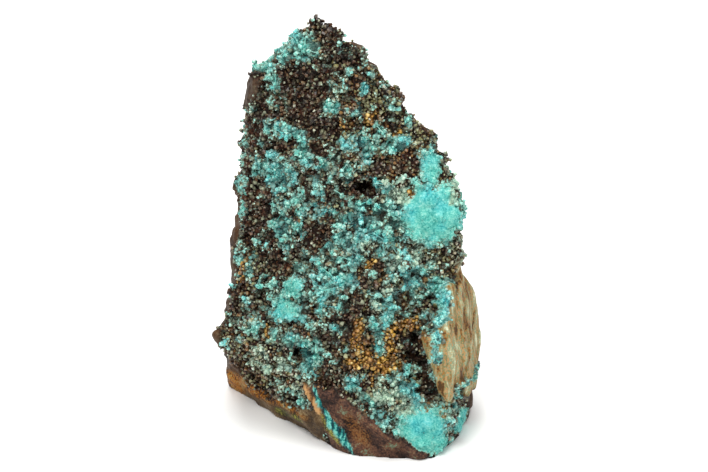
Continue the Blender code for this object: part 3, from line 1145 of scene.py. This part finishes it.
def mesh_piece(
    name: str, points: Array, faces: Array, numbers: dict[str, Array], finish: Finish, smooth: bool
) -> None:
    """Makes a piece that rides on the stone.

    Args:
        name: the piece's name.
        points: corners in millimetres.
        faces: corner numbers, the same count to each face.
        numbers: a named number for each corner, read by the material.
        finish: its finish.
        smooth: whether the faces shade into each other.
    """
    mesh = bpy.data.meshes.new(name)
    sides = faces.shape[1]
    mesh.vertices.add(len(points))
    mesh.vertices.foreach_set("co", (points * MM).astype(np.float32).reshape(-1))
    mesh.loops.add(faces.size)
    mesh.loops.foreach_set("vertex_index", faces.astype(np.int32).reshape(-1))
    mesh.polygons.add(len(faces))
    mesh.polygons.foreach_set("loop_start", np.arange(len(faces), dtype=np.int32) * sides)
    mesh.polygons.foreach_set("use_smooth", np.full(len(faces), smooth))
    mesh.update(calc_edges=True)
    for key, values in numbers.items():
        attribute = mesh.attributes.new(key, "FLOAT", "POINT")
        attribute.data.foreach_set("value", values.astype(np.float32))
    mesh.materials.append(finish.made())
    piece = placed(name, mesh)
    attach(piece, "root")
    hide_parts(NODE)
    log.info("%s: %d triangles", name, len(faces) * (sides - 2))


@dataclass(frozen=True)
class RoundPlace:
    """A pit between clusters that is free of grains, or a place where the crust is thicker.

    Attributes:
        centre: place on the surface, mm.
        radius: mm.
        height: how deep the pit is, or how much further out the crust stands, mm.
    """

    centre: Triple
    radius: float
    height: float

    def away(self, points: Array) -> Array:
        """Distance of each point from its middle, in radii."""
        return np.linalg.norm(points - np.array(self.centre), axis=1) / self.radius


@dataclass
class RockBody:
    """The rock itself, with the relief of its crust and its breaks.

    Attributes:
        minerals: what lies where.
        voxel: size of a face, mm.
        sink: how far the tops of the clusters lie under the tips of their grains, mm.
        gap_depth: depth of the gaps between clusters, mm.
        knob_height: height of the knobs on the clusters, mm.
        velvet: size and height of the soft lumps of the even coats, mm.
        break_relief: size and height of the roughness of the breaks, mm.
        step: size and height of the steps that the rock broke along, mm.
        groove: size and height of the grooves on the slab, mm.
        ridge: half width and height of the ridge along the top of the smooth break, mm.
        cleft_depth: depth of the cleft beside the slab, mm.
        pits: the open pits.
        swells: the places with a thicker crust.
        surface: the finished surface.
        ground: what lies at each of its corners.
    """

    minerals: MineralMap
    voxel: float = 0.305
    sink: float = 0.3
    gap_depth: float = 1.0
    knob_height: float = 0.6
    velvet: tuple[float, float] = (1.2, 0.36)
    break_relief: tuple[float, float] = (2.6, 0.34)
    step: tuple[float, float] = (5.0, 0.34)
    groove: tuple[float, float] = (0.7, 0.17)
    ridge: tuple[float, float] = (0.5, 0.45)
    cleft_depth: float = 1.0
    pits: tuple[RoundPlace, ...] = (
        RoundPlace((-6.9, -8.6, 13.0), 0.6, 1.8),
        RoundPlace((2.1, -5.6, 37.1), 0.6, 1.6),
    )
    swells: tuple[RoundPlace, ...] = (
        RoundPlace((15.9, -6.5, 31.0), 8.5, 0.8),
        RoundPlace((-8.6, 2.0, 54.6), 5.0, 0.6),
        RoundPlace((9.4, -9.8, 17.2), 2.0, 0.9),
    )
    surface: Surface = field(init=False)
    ground: Ground = field(init=False)

    def __post_init__(self) -> None:
        """Works out the surface and what lies on it."""
        plain = packed_surface(self.voxel)
        plain = plain.refreshed(plain.relaxed(3))
        self.ground = self.minerals.read(plain.points, plain.normals)
        # The pits hold no film, so they show the near-black crust ground: painted shade in the holes
        for pit in self.pits:
            self.ground.film *= ramp(0.9, 1.5, pit.away(plain.points))
        relief = self.relief(plain) * ramp(0.0, 0.8, plain.points[:, 2])
        moved = plain.points + plain.normals * relief[:, None]
        moved[:, 2] = np.maximum(moved[:, 2], 0.0)
        moved[plain.points[:, 2] < 0.12, 2] = 0.0
        self.surface = plain.refreshed(moved)

    def relief(self, plain: Surface) -> Array:
        """How far each point of the plain surface moves out, mm.

        Args:
            plain: the surface before.

        Returns:
            One distance to a point.
        """
        points, ground = plain.points, self.ground
        filled = np.clip(ground.smooth, 0.0, 1.0)
        crusted = -self.sink - self.gap_depth * (1.0 - 0.9 * filled) * (0.8 - ground.clump)
        crusted += self.knob_height * (ground.knob - 0.6) * (1.0 - 0.75 * filled)
        crusted += filled * self.velvet[1] * rough_noise(points, self.velvet[0], 2, 57)
        crusted += 0.3 * filled + 0.15 * np.clip(ground.film, 0.0, 1.0)
        crusted -= self.cleft_depth * ground.cleft
        crusted += sum(swell.height * ramp(1.0, 0.3, swell.away(points)) for swell in self.swells)
        rough = self.break_relief[1] * rough_noise(points, self.break_relief[0], 4, 54)
        level = 1.7 * soft_noise(bent(points, 2.5, 1.0, 90), self.step[0], 59)
        steps = np.floor(level) + ramp(0.7, 1.0, level - np.floor(level)) + 0.5
        plain_rock = (1.0 - ground.slab) * (1.0 - ground.foot) * (1.0 - ground.band)
        rough += self.step[1] * steps * plain_rock
        upright = points * np.array((1.0, 1.0, 0.12))
        grooves = self.groove[1] * rough_noise(upright, self.groove[0], 2, 58)
        bare = rough * (1.0 - 0.6 * ground.slab) + grooves * ground.slab
        bare += 0.15 * ground.slab * ramp(0.3, 0.7, ground.film)
        below = self.minerals.lip(points[:, 0]) - 1.4 - points[:, 2]
        crest = self.ridge[1] * np.exp(-((below / self.ridge[0]) ** 2))
        bare = np.where(ground.foot > 0.5, 0.6 * bare + crest - 0.3 * ground.ember, bare)
        bare += 0.25 * ground.strip - 0.2 * ground.vein
        relief = ground.crust * crusted + (1.0 - ground.crust) * bare
        for pit in self.pits:
            relief -= pit.height * ramp(1.5, 0.5, pit.away(points))
        return relief

    def build(self, finish: Finish) -> None:
        """Makes the rock as a piece.

        Args:
            finish: its finish.
        """
        ground = self.ground
        numbers = dict(vars(ground))
        del numbers["shade"], numbers["brown"]
        numbers["gold"] = ground.gold * ground.crust
        numbers["film"] = ground.film * np.maximum(ground.crust, ground.slab)
        numbers["cleft"] = ground.cleft * ground.crust
        # The cluster and knob heights are read only to place the painted shade in the gaps, which
        # smooth coats and bare rock don't get
        numbers["clump"] = np.maximum(ground.clump, ground.smooth)
        numbers["knob"] = np.maximum(ground.knob, 1.0 - ground.crust + ground.smooth)
        mesh_piece("rock_body", self.surface.points, self.surface.faces, numbers, finish, True)


# Grains


@dataclass
class Shape:
    """One grain of unit size, its root below and its tip towards +Z.

    Attributes:
        points: corners.
        faces: corner numbers, three to a face.
        smooth: whether the faces shade into each other.
    """

    points: Array
    faces: Array
    smooth: bool = False


def drawn(source: bmesh.types.BMesh, smooth: bool) -> Shape:
    """The shape that a mesh in the making holds.

    Args:
        source: the mesh, of three-sided faces, which is freed.
        smooth: whether the faces shade into each other.

    Returns:
        The shape.
    """
    points = np.array([vertex.co[:] for vertex in source.verts])
    faces = np.array([[vertex.index for vertex in face.verts] for face in source.faces])
    source.free()
    return Shape(points, faces, smooth)


def bead_shape(seed: int, rounds: int, lumpy: float) -> Shape:
    """A rounded bead.

    Args:
        seed: which lumps to give.
        rounds: 1 for 20 faces, 2 for 80.
        lumpy: height of its lumps, as a share of its radius.

    Returns:
        The shape.
    """
    ball = bmesh.new()
    bmesh.ops.create_icosphere(ball, subdivisions=rounds, radius=1.0)
    shape = drawn(ball, True)
    shape.points *= (1.0 + lumpy * soft_noise(shape.points + 7.3 * seed, 0.9, seed))[:, None]
    return shape


def crystal_shape(seed: int, corners: int) -> Shape:
    """A stubby crystal with flat faces.

    Args:
        seed: which crystal to give.
        corners: how many corners to try.

    Returns:
        The shape.
    """
    chance = np.random.default_rng(seed)
    tried = unit(chance.normal(size=(corners, 3))) * chance.uniform(0.8, 1.1, (corners, 1))
    tried[:, 2] *= 1.15
    block = bmesh.new()
    for corner in tried:
        block.verts.new(corner)
    made = bmesh.ops.convex_hull(block, input=block.verts[:])
    inside = [item for item in made["geom_interior"] if isinstance(item, bmesh.types.BMVert)]
    bmesh.ops.delete(block, geom=inside, context="VERTS")
    bmesh.ops.triangulate(block, faces=block.faces[:])
    bmesh.ops.recalc_face_normals(block, faces=block.faces[:])
    block.verts.index_update()
    return drawn(block, False)


def needle_shape() -> Shape:
    """A hair-fine needle of four faces.

    Returns:
        The shape, its root at the origin.
    """
    ring = [(math.cos(turn), math.sin(turn), -0.05) for turn in (0.0, 2.094, 4.189)]
    points = np.array([*ring, (0.0, 0.0, 1.0)])
    faces = np.array([(2, 1, 0), (0, 1, 3), (1, 2, 3), (2, 0, 3)])
    return Shape(points, faces)


@dataclass
class Grains:
    """Grains of one kind, each with its place.

    Attributes:
        points: where each grain sits, mm.
        normals: outward direction there.
        sizes: half width of each grain, mm.
        numbers: named number of each grain, read by the material.
    """

    points: Array
    normals: Array
    sizes: Array
    numbers: dict[str, Array]

    def picked(self, chosen: Array) -> "Grains":
        """Only the chosen grains."""
        numbers = {name: values[chosen] for name, values in self.numbers.items()}
        return Grains(self.points[chosen], self.normals[chosen], self.sizes[chosen], numbers)

    def repeated(self, times: int) -> "Grains":
        """Each grain this many times over."""
        return self.picked(np.repeat(np.arange(len(self.points)), times))

    def joined(
        self, shapes: list[Shape], seed: int, tilt: float, stretch: float
    ) -> tuple[Array, Array, dict[str, Array]]:
        """All the grains as one mesh.

        Args:
            shapes: the shapes that they take in turn.
            seed: which turns to give.
            tilt: how far a grain leans from the surface's own direction, 0 to 1.
            stretch: length of a grain along its axis, in half widths.

        Returns:
            Corners, faces and the named numbers of the corners.
        """
        chance = np.random.default_rng(seed)
        count = len(self.points)
        up = unit(self.normals + tilt * chance.normal(size=(count, 3)))
        side = unit(np.cross(up, unit(chance.normal(size=(count, 3)))))
        turned = np.stack([side, np.cross(up, side), up], axis=2)
        which = chance.integers(len(shapes), size=count)
        corners, faces, tips, owners, shift = [], [], [], [], 0
        for number, shape in enumerate(shapes):
            mine = np.nonzero(which == number)[0]
            scaled = shape.points * np.array((1.0, 1.0, stretch))
            placed = np.einsum("nij,vj->nvi", turned[mine], scaled)
            placed = placed * self.sizes[mine, None, None] + self.points[mine, None, :]
            corners.append(placed.reshape(-1, 3))
            offsets = shift + np.arange(len(mine)) * len(scaled)
            faces.append((shape.faces[None] + offsets[:, None, None]).reshape(-1, 3))
            height = shape.points[:, 2]
            tips.append(np.tile((height - height.min()) / np.ptp(height), len(mine)))
            owners.append(np.repeat(mine, len(scaled)))
            shift += len(mine) * len(scaled)
        owner = np.concatenate(owners)
        numbers = {name: values[owner] for name, values in self.numbers.items()}
        numbers["tip"] = np.concatenate(tips)
        return np.concatenate(corners), np.concatenate(faces), numbers


def searched(points: Array) -> KDTree:
    """The points, ready to be searched by place.

    Args:
        points: places in millimetres.

    Returns:
        The tree that finds them.
    """
    tree = KDTree(len(points))
    for number, point in enumerate(points):
        tree.insert(point, number)
    tree.balance()
    return tree


def spaced(points: Array, gaps: Array) -> Array:
    """Thins out a crowd of points.

    Args:
        points: places in millimetres, in order of preference.
        gaps: least distance to keep from each.

    Returns:
        Numbers of the points that stay.
    """
    tree = searched(points)
    free = np.ones(len(points), dtype=bool)
    kept = []
    for number, point in enumerate(points):
        if not free[number]:
            continue
        kept.append(number)
        for _, other, _ in tree.find_range(point, gaps[number]):
            free[other] = False
    return np.array(kept)


@dataclass
class DruseCoat:
    """Every grain of the crust, sown on the rock and sorted by mineral.

    Attributes:
        rock: the rock that they grow on.
        tried: how many places are tried.
        gap: least distance between grains, mm.
        knob_rise: how much further the grains on a knob's top stand off, mm.
        seed: which sowing to give.
        satellites: how many small beads crowd on a tuft.
        needles: how many needles grow on a bead.
        needle_width: least and most half width of a needle, mm.
        needle_length: its length, in half widths.
        threads: how many beads are tried as the start of a thread.
        thread_reach: least and most distance between its ends, mm.
        thread_clear: how far its middle keeps from the beads, mm.
        thread_width: its least and most half width, mm.
        points: where grains are sown, mm.
        normals: outward direction there.
        ground: what lies there.
    """

    rock: RockBody
    tried: int = 170000
    gap: float = 0.345
    knob_rise: float = 0.35
    seed: int = 7
    satellites: int = 3
    needles: int = 5
    needle_width: tuple[float, float] = (0.024, 0.04)
    needle_length: float = 13.0
    threads: int = 1300
    thread_reach: tuple[float, float] = (0.8, 1.6)
    thread_clear: float = 0.34
    thread_width: tuple[float, float] = (0.035, 0.065)
    points: Array = field(init=False)
    normals: Array = field(init=False)
    ground: Ground = field(init=False)

    def __post_init__(self) -> None:
        """Sows the places and reads what lies there."""
        chance = np.random.default_rng(self.seed)
        surface, ground = self.rock.surface, self.rock.ground
        corners = surface.points[surface.faces]
        share = np.maximum(ground.crust, ground.slab * ramp(0.5, 0.7, ground.film))
        share = share[surface.faces].mean(axis=1)
        across = np.cross(corners[:, 2] - corners[:, 0], corners[:, 3] - corners[:, 1])
        area = np.linalg.norm(across, axis=1) * (share > 0.3)
        chosen = chance.choice(len(area), size=self.tried, p=area / area.sum())
        u, v = chance.random((2, self.tried, 1))
        a, b, c, d = corners[chosen].transpose(1, 0, 2)
        points = (a * (1 - u) + b * u) * (1 - v) + (d * (1 - u) + c * u) * v
        clear = points[:, 2] > 0.45
        for pit in self.rock.pits:
            clear &= pit.away(points) > 1.2
        points, faces = points[clear], surface.faces[chosen[clear]]
        kept = spaced(points, chance.uniform(0.85, 1.35, len(points)) * self.gap)
        self.points = points[kept]
        self.normals = unit(surface.normals[faces[kept]].mean(axis=1))
        self.ground = ground.averaged(faces[kept])
        log.info("druse sown: %d grains", len(kept))

    def grains(self, chosen: Array, low: float, high: float, rise: float, seed: int) -> Grains:
        """The grains at the chosen places.

        Args:
            chosen: which places.
            low: least half width, mm.
            high: largest half width, mm.
            rise: how far the middle stands off the rock, in half widths.
            seed: which sizes to give.

        Returns:
            The grains.
        """
        chance = np.random.default_rng(seed)
        ground = self.ground
        count = int(chosen.sum())
        sizes = low + (high - low) * chance.random(count) ** 1.6
        out = sizes * rise + self.knob_rise * (ground.knob[chosen] - 0.5)
        points = self.points[chosen] + self.normals[chosen] * out[:, None]
        points[:, 2] = np.maximum(points[:, 2], sizes * 1.3)
        # The clump and knob numbers only place the painted shade in the gaps: gold and pale grains get
        # less of it between knobs, and smooth coats none
        soft = 0.28 * np.maximum(ground.gold, ground.pale)
        numbers = {
            "tint": 0.55 * ground.shade[chosen] + 0.45 * chance.random(count),
            "film": ground.film[chosen],
            "pale": ground.pale[chosen],
            "clump": np.maximum(ground.clump, ground.smooth)[chosen],
            "knob": np.maximum.reduce((ground.knob, ground.smooth, soft))[chosen],
            "smooth": ground.smooth[chosen],
        }
        return Grains(points, self.normals[chosen], sizes, numbers)

    def build(self) -> None:
        """Makes every grain piece."""
        luck, turn = np.random.default_rng(11).random((2, len(self.points)))
        ground = self.ground
        coat = ground.smooth > 0.55
        velvet = coat & (luck < 0.35)
        blue = (ground.film + 0.3 * (luck - 0.5) > 0.66) & ~coat
        gold = (ground.gold > 0.5) & (turn < 0.9) & ~blue & ~coat
        # Pale points go where the pale druse lies, and a few are sprinkled over all the druse as
        # painted glints
        pale = ((ground.pale > 0.4) & (turn < 0.45) | (turn > 0.95)) & ~blue & ~gold & ~coat
        # Few grains grow in the cleft, so its near-black painted shade shows between them
        rest = ~(blue | gold | pale | coat) & ((ground.cleft < 0.4) | (luck < 0.4))
        brown = rest & (ground.brown + 0.5 * (luck - 0.5) > 0.5)
        dark = rest & ~brown
        large = [bead_shape(k, 2, 0.55) for k in range(6)]
        small = [bead_shape(10 + k, 1, 0.4) for k in range(5)]
        stubs = [crystal_shape(20 + k, 14) for k in range(10)]
        sown = self.grains
        tufts = sown(blue, 0.15, 0.36, 0.3, 22)
        big = tufts.sizes > 0.2
        for row in (
            ("dark_druse", sown(dark, 0.17, 0.4, 0.3, 21), stubs, DARK_DRUSE, 31, 0.5, 1.1),
            ("brown_druse", sown(brown, 0.17, 0.4, 0.35, 25), stubs, BROWN_DRUSE, 32, 0.5, 1.1),
            ("blue_tufts", tufts.picked(big), large, BLUE_CRUST, 33, 0.3),
            ("blue_beads", tufts.picked(~big), small, BLUE_CRUST, 34, 0.3),
            ("blue_velvet", sown(velvet, 0.14, 0.3, -0.35, 26), small, BLUE_CRUST, 37, 0.3),
            ("ochre_beads", sown(gold, 0.16, 0.34, 0.4, 23), large, OCHRE_GRAINS, 35, 0.2),
            ("quartz_points", sown(pale, 0.13, 0.26, 0.6, 24), stubs, PALE_QUARTZ_AND_PAINTED_GLINTS, 36, 0.5, 1.3),
        ):
            self.piece(*row)
        self.crowd(tufts.picked(big), small)
        self.bloom(tufts)
        self.span(tufts)

    def piece(
        self,
        name: str,
        grains: Grains,
        shapes: list[Shape],
        finish: Finish,
        seed: int,
        tilt: float,
        stretch: float = 1.0,
    ) -> None:
        """Makes one piece of joined grains.

        Args:
            name: the piece's name.
            grains: where they are.
            shapes: the shapes that they take.
            finish: their finish.
            seed: which turns to give.
            tilt: how far a grain leans, 0 to 1.
            stretch: length along the axis, in half widths.
        """
        points, faces, numbers = grains.joined(shapes, seed, tilt, stretch)
        points[:, 2] = np.maximum(points[:, 2], 0.02)
        mesh_piece(name, points, faces, numbers, finish, shapes[0].smooth)

    def crowd(self, tufts: Grains, shapes: list[Shape]) -> None:
        """Makes the small beads that crowd on the tufts.

        Args:
            tufts: the large beads that carry them.
            shapes: the shapes that they take.
        """
        chance = np.random.default_rng(45)
        many = tufts.repeated(self.satellites)
        count = len(many.points)
        away = unit(0.8 * many.normals + chance.normal(size=(count, 3)))
        many.points = many.points + away * 0.85 * many.sizes[:, None]
        many.sizes = many.sizes * chance.uniform(0.3, 0.5, count)
        many.numbers["tint"] = chance.random(count)
        self.piece("blue_satellites", many, shapes, BLUE_CRUST, 46, 0.3)

    def bloom(self, tufts: Grains) -> None:
        """Makes the bloom of needles on the tufts.

        Args:
            tufts: the beads that carry them.
        """
        chance = np.random.default_rng(41)
        many = tufts.repeated(self.needles)
        count = len(many.points)
        away = unit(many.normals + chance.normal(size=(count, 3)))
        many.points = many.points + away * 0.6 * many.sizes[:, None]
        many.normals = away
        many.sizes = chance.uniform(*self.needle_width, count)
        many.numbers["tint"] = chance.random(count)
        self.piece("needle_bloom", many, [needle_shape()], BLUE_BLOOM, 42, 0.0, self.needle_length)

    def span(self, tufts: Grains, rings: int = 5, sides: int = 4) -> None:
        """Makes the threads that span the gaps from tuft to tuft.

        Args:
            tufts: the beads that they join.
            rings: how many rings of corners a thread has between its ends.
            sides: how many corners a ring has.
        """
        least, most = self.thread_reach
        chance = np.random.default_rng(43)
        tree = searched(tufts.points)
        pairs = []
        for start in chance.permutation(len(tufts.points))[: self.threads]:
            around = tree.find_range(tufts.points[start], most)
            near = [other for _, other, away in around if away > least]
            if not near:
                continue
            other = near[chance.integers(len(near))]
            _, _, clear = tree.find((tufts.points[start] + tufts.points[other]) / 2.0)
            if clear > self.thread_clear:
                pairs.append((start, other))
        first, last = np.array(pairs).T
        a, b = tufts.points[first], tufts.points[last]
        out = unit(tufts.normals[first] + tufts.normals[last])
        along = unit(b - a)
        side = unit(np.cross(along, out))
        rise = np.cross(side, along)
        width = chance.uniform(*self.thread_width, len(a))
        bow = chance.uniform(-0.1, 0.15, len(a))
        corners = [a]
        for step in np.linspace(0.12, 0.88, rings):
            middle = a * (1 - step) + b * step + out * (bow * 4 * step * (1 - step))[:, None]
            thick = width * (1.0 + 1.6 * (2.0 * step - 1.0) ** 2)
            for turn in range(sides):
                angle = 2.0 * math.pi * turn / sides
                arm = side * math.cos(angle) + rise * math.sin(angle)
                corners.append(middle + arm * thick[:, None])
        points = np.stack([*corners, b], axis=1)
        whole = len(corners) + 1
        faces = []
        for turn in range(sides):
            after = (turn + 1) % sides
            faces.append((0, 1 + after, 1 + turn))
            for low in range(1, whole - 1 - sides, sides):
                high = low + sides
                faces.append((low + turn, low + after, high + after))
                faces.append((low + turn, high + after, high + turn))
            faces.append((whole - 1, high + turn, high + after))
        offsets = np.arange(len(a)) * whole
        joined = (np.array(faces)[None] + offsets[:, None, None]).reshape(-1, 3)
        numbers = {name: np.repeat(values[first], whole) for name, values in tufts.numbers.items()}
        numbers["tint"] = np.repeat(chance.random(len(a)), whole)
        numbers["tip"] = np.full(len(a) * whole, 0.6)
        mesh_piece("gap_threads", points.reshape(-1, 3), joined, numbers, BLUE_BLOOM, True)


# The studio


@dataclass(frozen=True)
class StudioFloor:
    """Matt white acrylic sheet, moulded: a plain pale ground with a soft shadow.

    Attributes:
        half: half of the floor's side, m.
        colour: sRGB hex value.
    """

    half: float = 2.0
    colour: str = "#f4f4f2"

    def build(self) -> None:
        """Lays the floor under the stone."""
        mesh = bpy.data.meshes.new("floor")
        corners = [(x * self.half, y * self.half, 0.0) for x, y in ((-1, -1), (1, -1), (1, 1), (-1, 1))]
        mesh.from_pydata(corners, [], [(0, 1, 2, 3)])
        material = bpy.data.materials.new("matt_white_acrylic_moulded")
        material.use_nodes = True
        shader = material.node_tree.nodes["Principled BSDF"]
        shader.inputs["Base Color"].default_value = linear(self.colour)
        shader.inputs["Roughness"].default_value = 0.9
        mesh.materials.append(material)
        placed("floor", mesh)


@dataclass(frozen=True)
class Softbox:
    """One soft rectangular light.

    Attributes:
        name: its name.
        azimuth: degrees round the stone, 0 in front and positive to the right.
        elevation: degrees up.
        distance: m.
        size: side, m.
        power: W.
        aim: height that it looks at, m.
    """

    name: str
    azimuth: float
    elevation: float
    distance: float
    size: float
    power: float
    aim: float = 0.03

    def build(self) -> None:
        """Hangs the light, turned to the stone."""
        away = Vector(direction(self.azimuth, self.elevation))
        light = bpy.data.lights.new(self.name, "AREA")
        light.energy = self.power
        light.size = self.size
        lamp = placed(self.name, light)
        lamp.location = away * self.distance + Vector((0.0, 0.0, self.aim))
        lamp.rotation_mode = "QUATERNION"
        lamp.rotation_quaternion = away.to_track_quat("Z", "Y")


@dataclass(frozen=True)
class Studio:
    """The white tent, the lights and the camera.

    Attributes:
        tent: brightness of the white surroundings.
        look_at: point that the camera looks at, mm.
        elevation: degrees that the camera stands above level.
        distance: mm from that point.
        lens: mm.
        sensor: width of the camera's frame, mm.
        lights: the softboxes.
    """

    tent: float = 0.3
    look_at: Triple = (0.794, -2.11, 28.3)
    elevation: float = 22.0
    distance: float = 277.0
    lens: float = 100.0
    sensor: float = 36.0
    lights: tuple[Softbox, ...] = (
        Softbox("key_softbox", -25.0, 52.0, 0.6, 0.22, 2.4),
        Softbox("right_softbox", 65.0, 30.0, 0.6, 0.2, 0.9),
        Softbox("top_softbox", 0.0, 84.0, 0.7, 0.5, 3.0),
        Softbox("back_softbox", 180.0, 55.0, 0.8, 0.6, 4.0),
    )

    def build(self) -> None:
        """Sets up the tent, the floor, the lights and the camera."""
        world = bpy.data.worlds.new("white_tent")
        world.use_nodes = True
        sky = world.node_tree.nodes["Background"]
        sky.inputs["Color"].default_value = (1.0, 1.0, 1.0, 1.0)
        sky.inputs["Strength"].default_value = self.tent
        bpy.context.scene.world = world
        bpy.context.scene.view_settings.view_transform = "Standard"
        StudioFloor().build()
        for light in self.lights:
            light.build()
        back = Vector(direction(0.0, self.elevation))
        camera = placed("camera", bpy.data.cameras.new("camera"))
        camera.data.lens = self.lens
        camera.data.sensor_width = self.sensor
        camera.data.clip_start = 0.01
        camera.location = (Vector(self.look_at) + back * self.distance) * MM
        camera.rotation_euler = Euler((math.radians(90.0 - self.elevation), 0.0, 0.0))
        bpy.context.scene.camera = camera


def main() -> None:
    """Dresses the stone and sets up the studio."""
    logging.basicConfig(level=logging.INFO, format="%(name)s: %(message)s")
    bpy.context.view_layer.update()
    stained = StainedRock()
    grown = (DARK_DRUSE, BROWN_DRUSE, BLUE_CRUST, BLUE_BLOOM, OCHRE_GRAINS, PALE_QUARTZ_AND_PAINTED_GLINTS)
    for finish in (stained, *grown):
        finish.build()
    rock = RockBody(MineralMap())
    rock.build(stained)
    DruseCoat(rock).build()
    Studio().build()
    bpy.context.view_layer.update()


if __name__ == "__main__":
    main()
